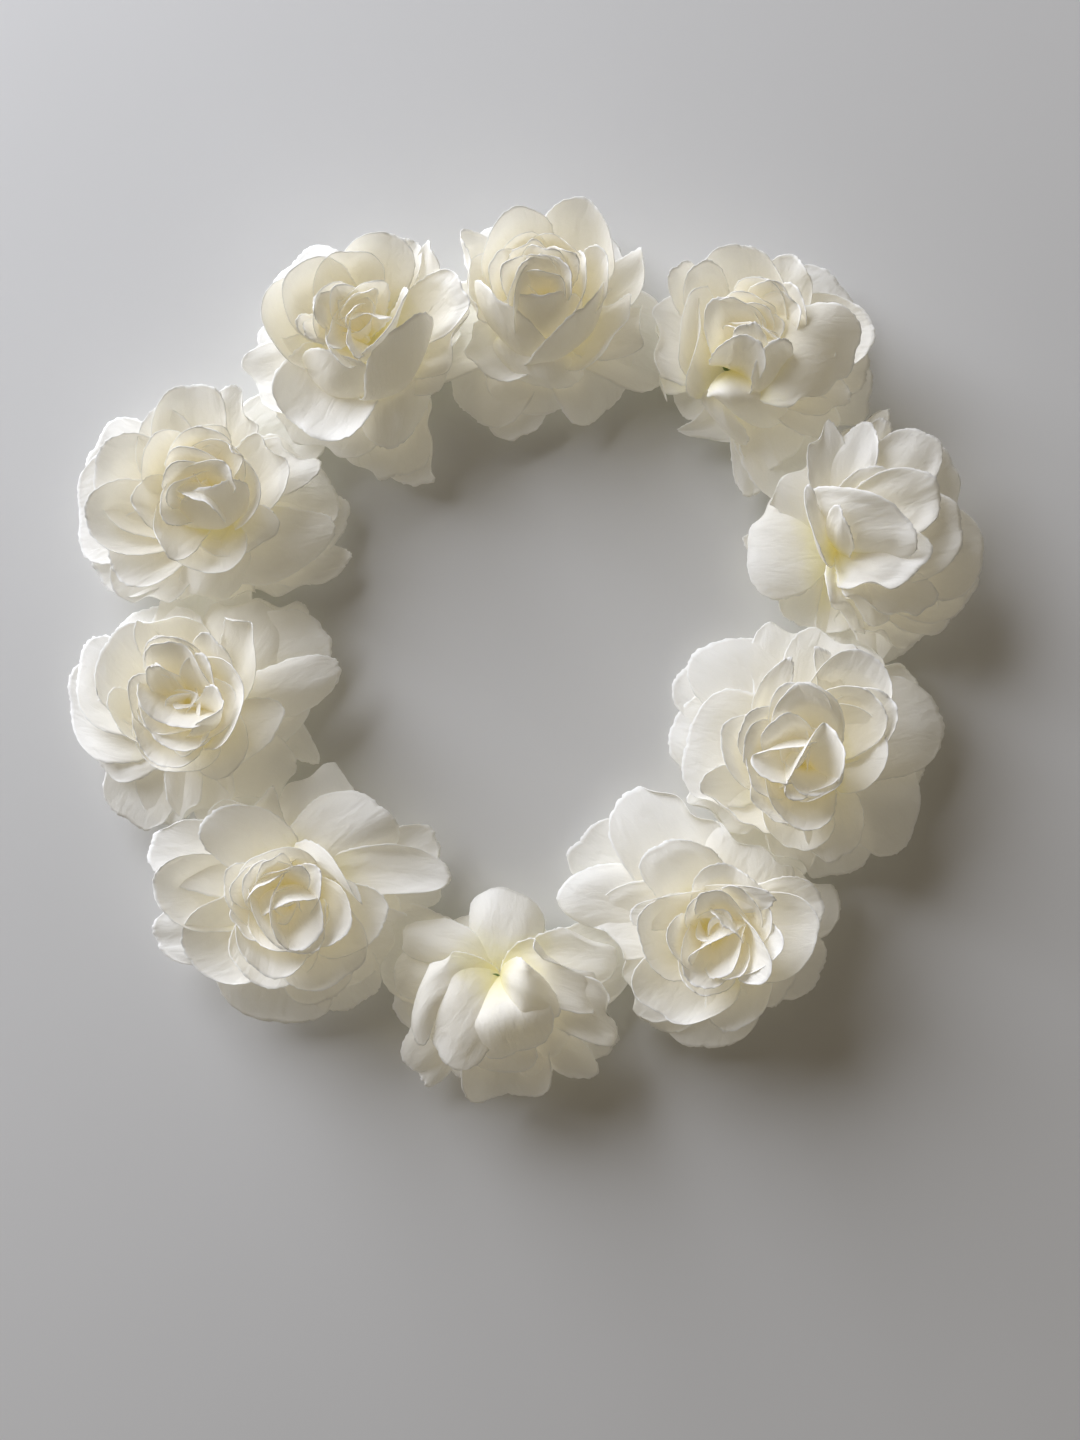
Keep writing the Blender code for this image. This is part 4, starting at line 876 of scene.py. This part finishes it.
def build_rose(index):
    rose = Rose(index)
    tag = f"rose_{index + 1:02d}"
    base, bud, rows = PETALS[index]
    groups = {"guard": [], "outer": [], "inner": [], "centre": []}

    def keep(kind, made, under=False):
        crown = (made[0] * MM + rose.seat) @ rose.turn.T + rose.foot
        groups[kind].append((rose.press(crown, under=under) + SHIFT, *made[1:]))

    # Low petals along the hoop hide it. Where the neighbour's petals reach over, one slips under them.
    low = (rose.seat[2] + HOOP_HEIGHT) / MM
    seat_out = rose.seat[0] / MM
    for k, side in enumerate((-1, 1)):
        boundary = index if side < 0 else (index - 1) % len(ROSES)
        beneath = (LEANS[boundary] < 0) == (side < 0)
        rng = np.random.RandomState(1000 * (index + 1) + 900 + k)
        reach = rng.uniform(36, 38) if beneath else rng.uniform(29, 32)
        sag = reach * reach / 184.0
        tip = (rng.uniform(-3, 1) - seat_out - sag, side * reach, (6.2 if beneath else 9.5) - low)
        belly = (rng.uniform(-1, 1) - seat_out * 0.6 - sag * 0.3, side * reach * 0.52, 9.0 - low)
        keep("guard", placed_petal(rng, np.array(base) * (1, 1, 1), tip, belly, rng.uniform(25, 28), cup=60, ruffle=0.5 if beneath else 0.8, curl=0.4), under=beneath)
    for k, (kind, tip, belly, width, options) in enumerate(rows):
        rng = np.random.RandomState(1000 * (index + 1) + k)
        p = dict(curl=rng.uniform(0.2, 1.3), twist=rng.uniform(-6, 6), point=rng.uniform(-0.8, 1.2), ruffle=rng.uniform(*{"g": (0.6, 1.1), "o": (0.9, 1.5), "i": (1.0, 1.7), "c": (1.2, 2.0)}[kind]))
        p.update(options)
        lift = {"g": 0.0, "o": 1.0, "i": 2.0, "c": 3.0}[kind]
        start = np.array(base) + np.array((0, 0, lift))
        width *= {"g": 1.18, "o": 1.18, "i": 1.10, "c": 1.08}[kind]
        keep(KINDS[kind], placed_petal(rng, start, tip, belly, width, **p))

    axis = Vector(np.array(bud) - np.array(base)).normalized()
    to_bud = np.array(Vector((0, 0, 1)).rotation_difference(axis).to_matrix())
    opening, crumple, boats = BUDS[index]
    for k in range(CORES[index]):
        rng = np.random.RandomState(1000 * (index + 1) + 500 + k)
        out = k / 8.0
        folded = 0 < k <= boats
        slopes = (90 - 14 * out, 89 - 12 * out, 88 - 18 * out * (0.6 + opening), 84 - 46 * out * opening - 8 * opening)
        made = petal(
            rng, length=(17.5 if CORES[index] < 6 else 15.0) * (1 + 0.3 * out) * rng.uniform(0.93, 1.06),
            width=(3.6 + 5.6 * out ** 0.8) * rng.uniform(0.9, 1.12) * (1.0 if CORES[index] < 6 else 0.8),
            bend=[v + rng.uniform(-6, 6) for v in slopes], az=rose.spin + 137.5 * k + rng.uniform(-12, 12), rho=0.6 + 3.6 * out,
            h=5.0 - 3.0 * out, wrap=1.6 if folded else 1.15, least_wrap=7.0 if folded else 3.0 + 5.5 * out,
            curl=rng.uniform(0.2, 1.4), ruffle=crumple * rng.uniform(0.6, 1.2), fold=0.8 if folded else rng.uniform(0, 0.2),
            roll=rng.uniform(4, 16), twist=rng.uniform(-12, 12), sway=rng.uniform(-2, 2), point=rng.uniform(-1, 1.5),
            lump=0.8 * crumple, n=22, square=0.3)
        keep("inner" if k > 5 else "centre", (made[0] @ to_bud.T + np.array(base), *made[1:]))

    for kind, parts in groups.items():
        obj = mesh_object(f"{tag}_{kind}_layers", parts, MATS[kind])
        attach(obj, tag)
        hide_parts(f"{tag}_centre" if kind == "centre" else f"{tag}_{kind}_petals")
        # Each petal's flat cut: its area, width and length.
        areas, lengths, widths = [], [], []
        for made in parts:
            flat, quads = made[2][:, :2], made[1]
            a, b = flat[quads[:, 2]] - flat[quads[:, 0]], flat[quads[:, 3]] - flat[quads[:, 1]]
            areas.append(abs(0.5 * (a[:, 0] * b[:, 1] - a[:, 1] * b[:, 0])).sum())
            widths.append(np.ptp(flat[:, 0]))
            lengths.append(np.ptp(flat[:, 1]))

    # Five sepals of the moulded calyx, spread under the lowest petals.
    sepals = []
    for k in range(5):
        rng = np.random.RandomState(1000 * (index + 1) + 980 + k)
        turn = math.radians(rose.spin + 72 * k + rng.uniform(-8, 8))
        way = np.array((math.cos(turn), math.sin(turn), 0.0))
        made = placed_petal(rng, way * 1.6 + (0, 0, -1.2), (way * rng.uniform(8.5, 9.5) + (0, 0, -1.6)) @ rose.head.T, (way * 5 + (0, 0, -1.2)) @ rose.head.T,
                            rng.uniform(4.0, 4.8), cup=5.0, curl=0.1, ruffle=0.15, lump=0.1, point=2.2, square=0.0, waist=0.7, n=10)
        crown = (made[0] * MM + rose.seat) @ rose.turn.T + rose.foot
        sepals.append((crown + SHIFT, *made[1:]))
    obj = mesh_object(f"{tag}_sepals", sepals, MATS["green"], thickness=0.45)
    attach(obj, tag)


for number in range(len(ROSES)):
    build_rose(number)


def wound_tape():
    """Crepe tape wound round the hoop: each turn laps half over the last, 7 mm on."""
    turns, sides = 960, 28
    around = np.linspace(0, 2 * np.pi, sides, endpoint=False)
    along = np.linspace(0, 2 * np.pi, turns, endpoint=False)
    pitch = HOOP_RADIUS * 2 * np.pi / 82
    T, A = np.meshgrid(along, around, indexing="ij")
    lap = (T * HOOP_RADIUS / pitch + A / (2 * np.pi)) % 1.0
    rng = np.random.RandomState(7)
    crinkle = sum(rng.uniform(0.5, 1) * np.sin(k * T * 41 + m * A + rng.uniform(0, 6.28)) for k in (1, 2, 3) for m in (1, 2, 4)) / 9
    radius = (1.78 + 0.34 * lap * smooth(0.0, 0.08, lap) + 0.05 * crinkle) * MM
    r = HOOP_RADIUS + radius * np.cos(A)
    z = np.maximum(HOOP_HEIGHT + radius * np.sin(A), 0.05 * MM)
    pts = np.stack([r * np.cos(T), r * np.sin(T), z], -1).reshape(-1, 3) + SHIFT
    i, j = np.meshgrid(np.arange(turns), np.arange(sides), indexing="ij")
    i2, j2 = (i + 1) % turns, (j + 1) % sides
    faces = np.stack([i * sides + j, i2 * sides + j, i2 * sides + j2, i * sides + j2], -1).reshape(-1, 4)
    cloth = np.stack([lap.ravel() * 12, (T * HOOP_RADIUS / MM).ravel(), A.ravel() * 2], -1)
    obj = mesh_object("hoop_tape_wound", [(pts, faces, cloth, lap.ravel(), np.full(len(pts), 5.0))], MATS["tape"], thickness=0)
    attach(obj, "hoop")
    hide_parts("hoop_tape")


wound_tape()

for name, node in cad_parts.items():
    if node.hide_render:
        continue
    mat = MATS["green"] if name.endswith("_stem") else MATS["wire"] if name == "hoop_wire" else MATS["tape"]
    node.data.materials.clear()
    node.data.materials.append(mat)

# ---------------------------------------------------------------------- stage
mesh = bpy.data.meshes.new("table_top")
mesh.from_pydata([(-2, -2, 0), (2, -2, 0), (2, 2, 0), (-2, 2, 0)], [], [(0, 1, 2, 3)])
table = bpy.data.objects.new("table_top", mesh)
bpy.context.scene.collection.objects.link(table)
mat, nodes, links, bsdf, out = new_material("table_laminate")
where = add(nodes, "ShaderNodeTexCoord")
cloud = add(nodes, "ShaderNodeTexNoise", in_Scale=9.0, in_Detail=6.0)
links.new(where.outputs["Object"], cloud.inputs["Vector"])
tint = ramp(nodes, [(0.3, (0.728, 0.728, 0.722)), (0.7, (0.742, 0.742, 0.738))])
links.new(cloud.outputs[0], tint.inputs[0])
links.new(tint.outputs[0], bsdf.inputs["Base Color"])
bsdf.inputs["Roughness"].default_value = 0.55
bsdf.inputs["Specular IOR Level"].default_value = 0.3
mesh.materials.append(mat)

world = bpy.data.worlds.new("room")
bpy.context.scene.world = world
world.use_nodes = True
world.node_tree.nodes["Background"].inputs["Color"].default_value = (1.0, 0.86, 0.65, 1)
world.node_tree.nodes["Background"].inputs["Strength"].default_value = 0.142


def area(name, at, size, power, colour, aim=(0, 0, 0)):
    light = bpy.data.lights.new(name, "AREA")
    light.shape = "RECTANGLE"
    light.size, light.size_y = size
    light.energy = power
    light.color = colour
    obj = bpy.data.objects.new(name, light)
    bpy.context.scene.collection.objects.link(obj)
    obj.location = at
    obj.rotation_euler = (Vector(aim) - Vector(at)).to_track_quat("-Z", "Y").to_euler()
    return obj


area("window", (-0.94, 0.98, 0.52), (1.3, 1.1), 36.5, (0.885, 0.915, 1.0))

# Pale cloth passes light on many times before it is lost.
bpy.context.scene.cycles.diffuse_bounces = 14
bpy.context.scene.cycles.transmission_bounces = 16
bpy.context.scene.cycles.max_bounces = 20

camera = bpy.data.objects.new("camera", bpy.data.cameras.new("camera"))
bpy.context.scene.collection.objects.link(camera)
camera.location = (0.0036 + SHIFT[0], -0.0215 + SHIFT[1], 0.440)
camera.data.lens = 38.04
camera.data.sensor_width = 36.0
camera.data.clip_start = 0.01
bpy.context.scene.camera = camera
bpy.context.scene.view_settings.view_transform = "Standard"
bpy.context.scene.view_settings.look = "None"
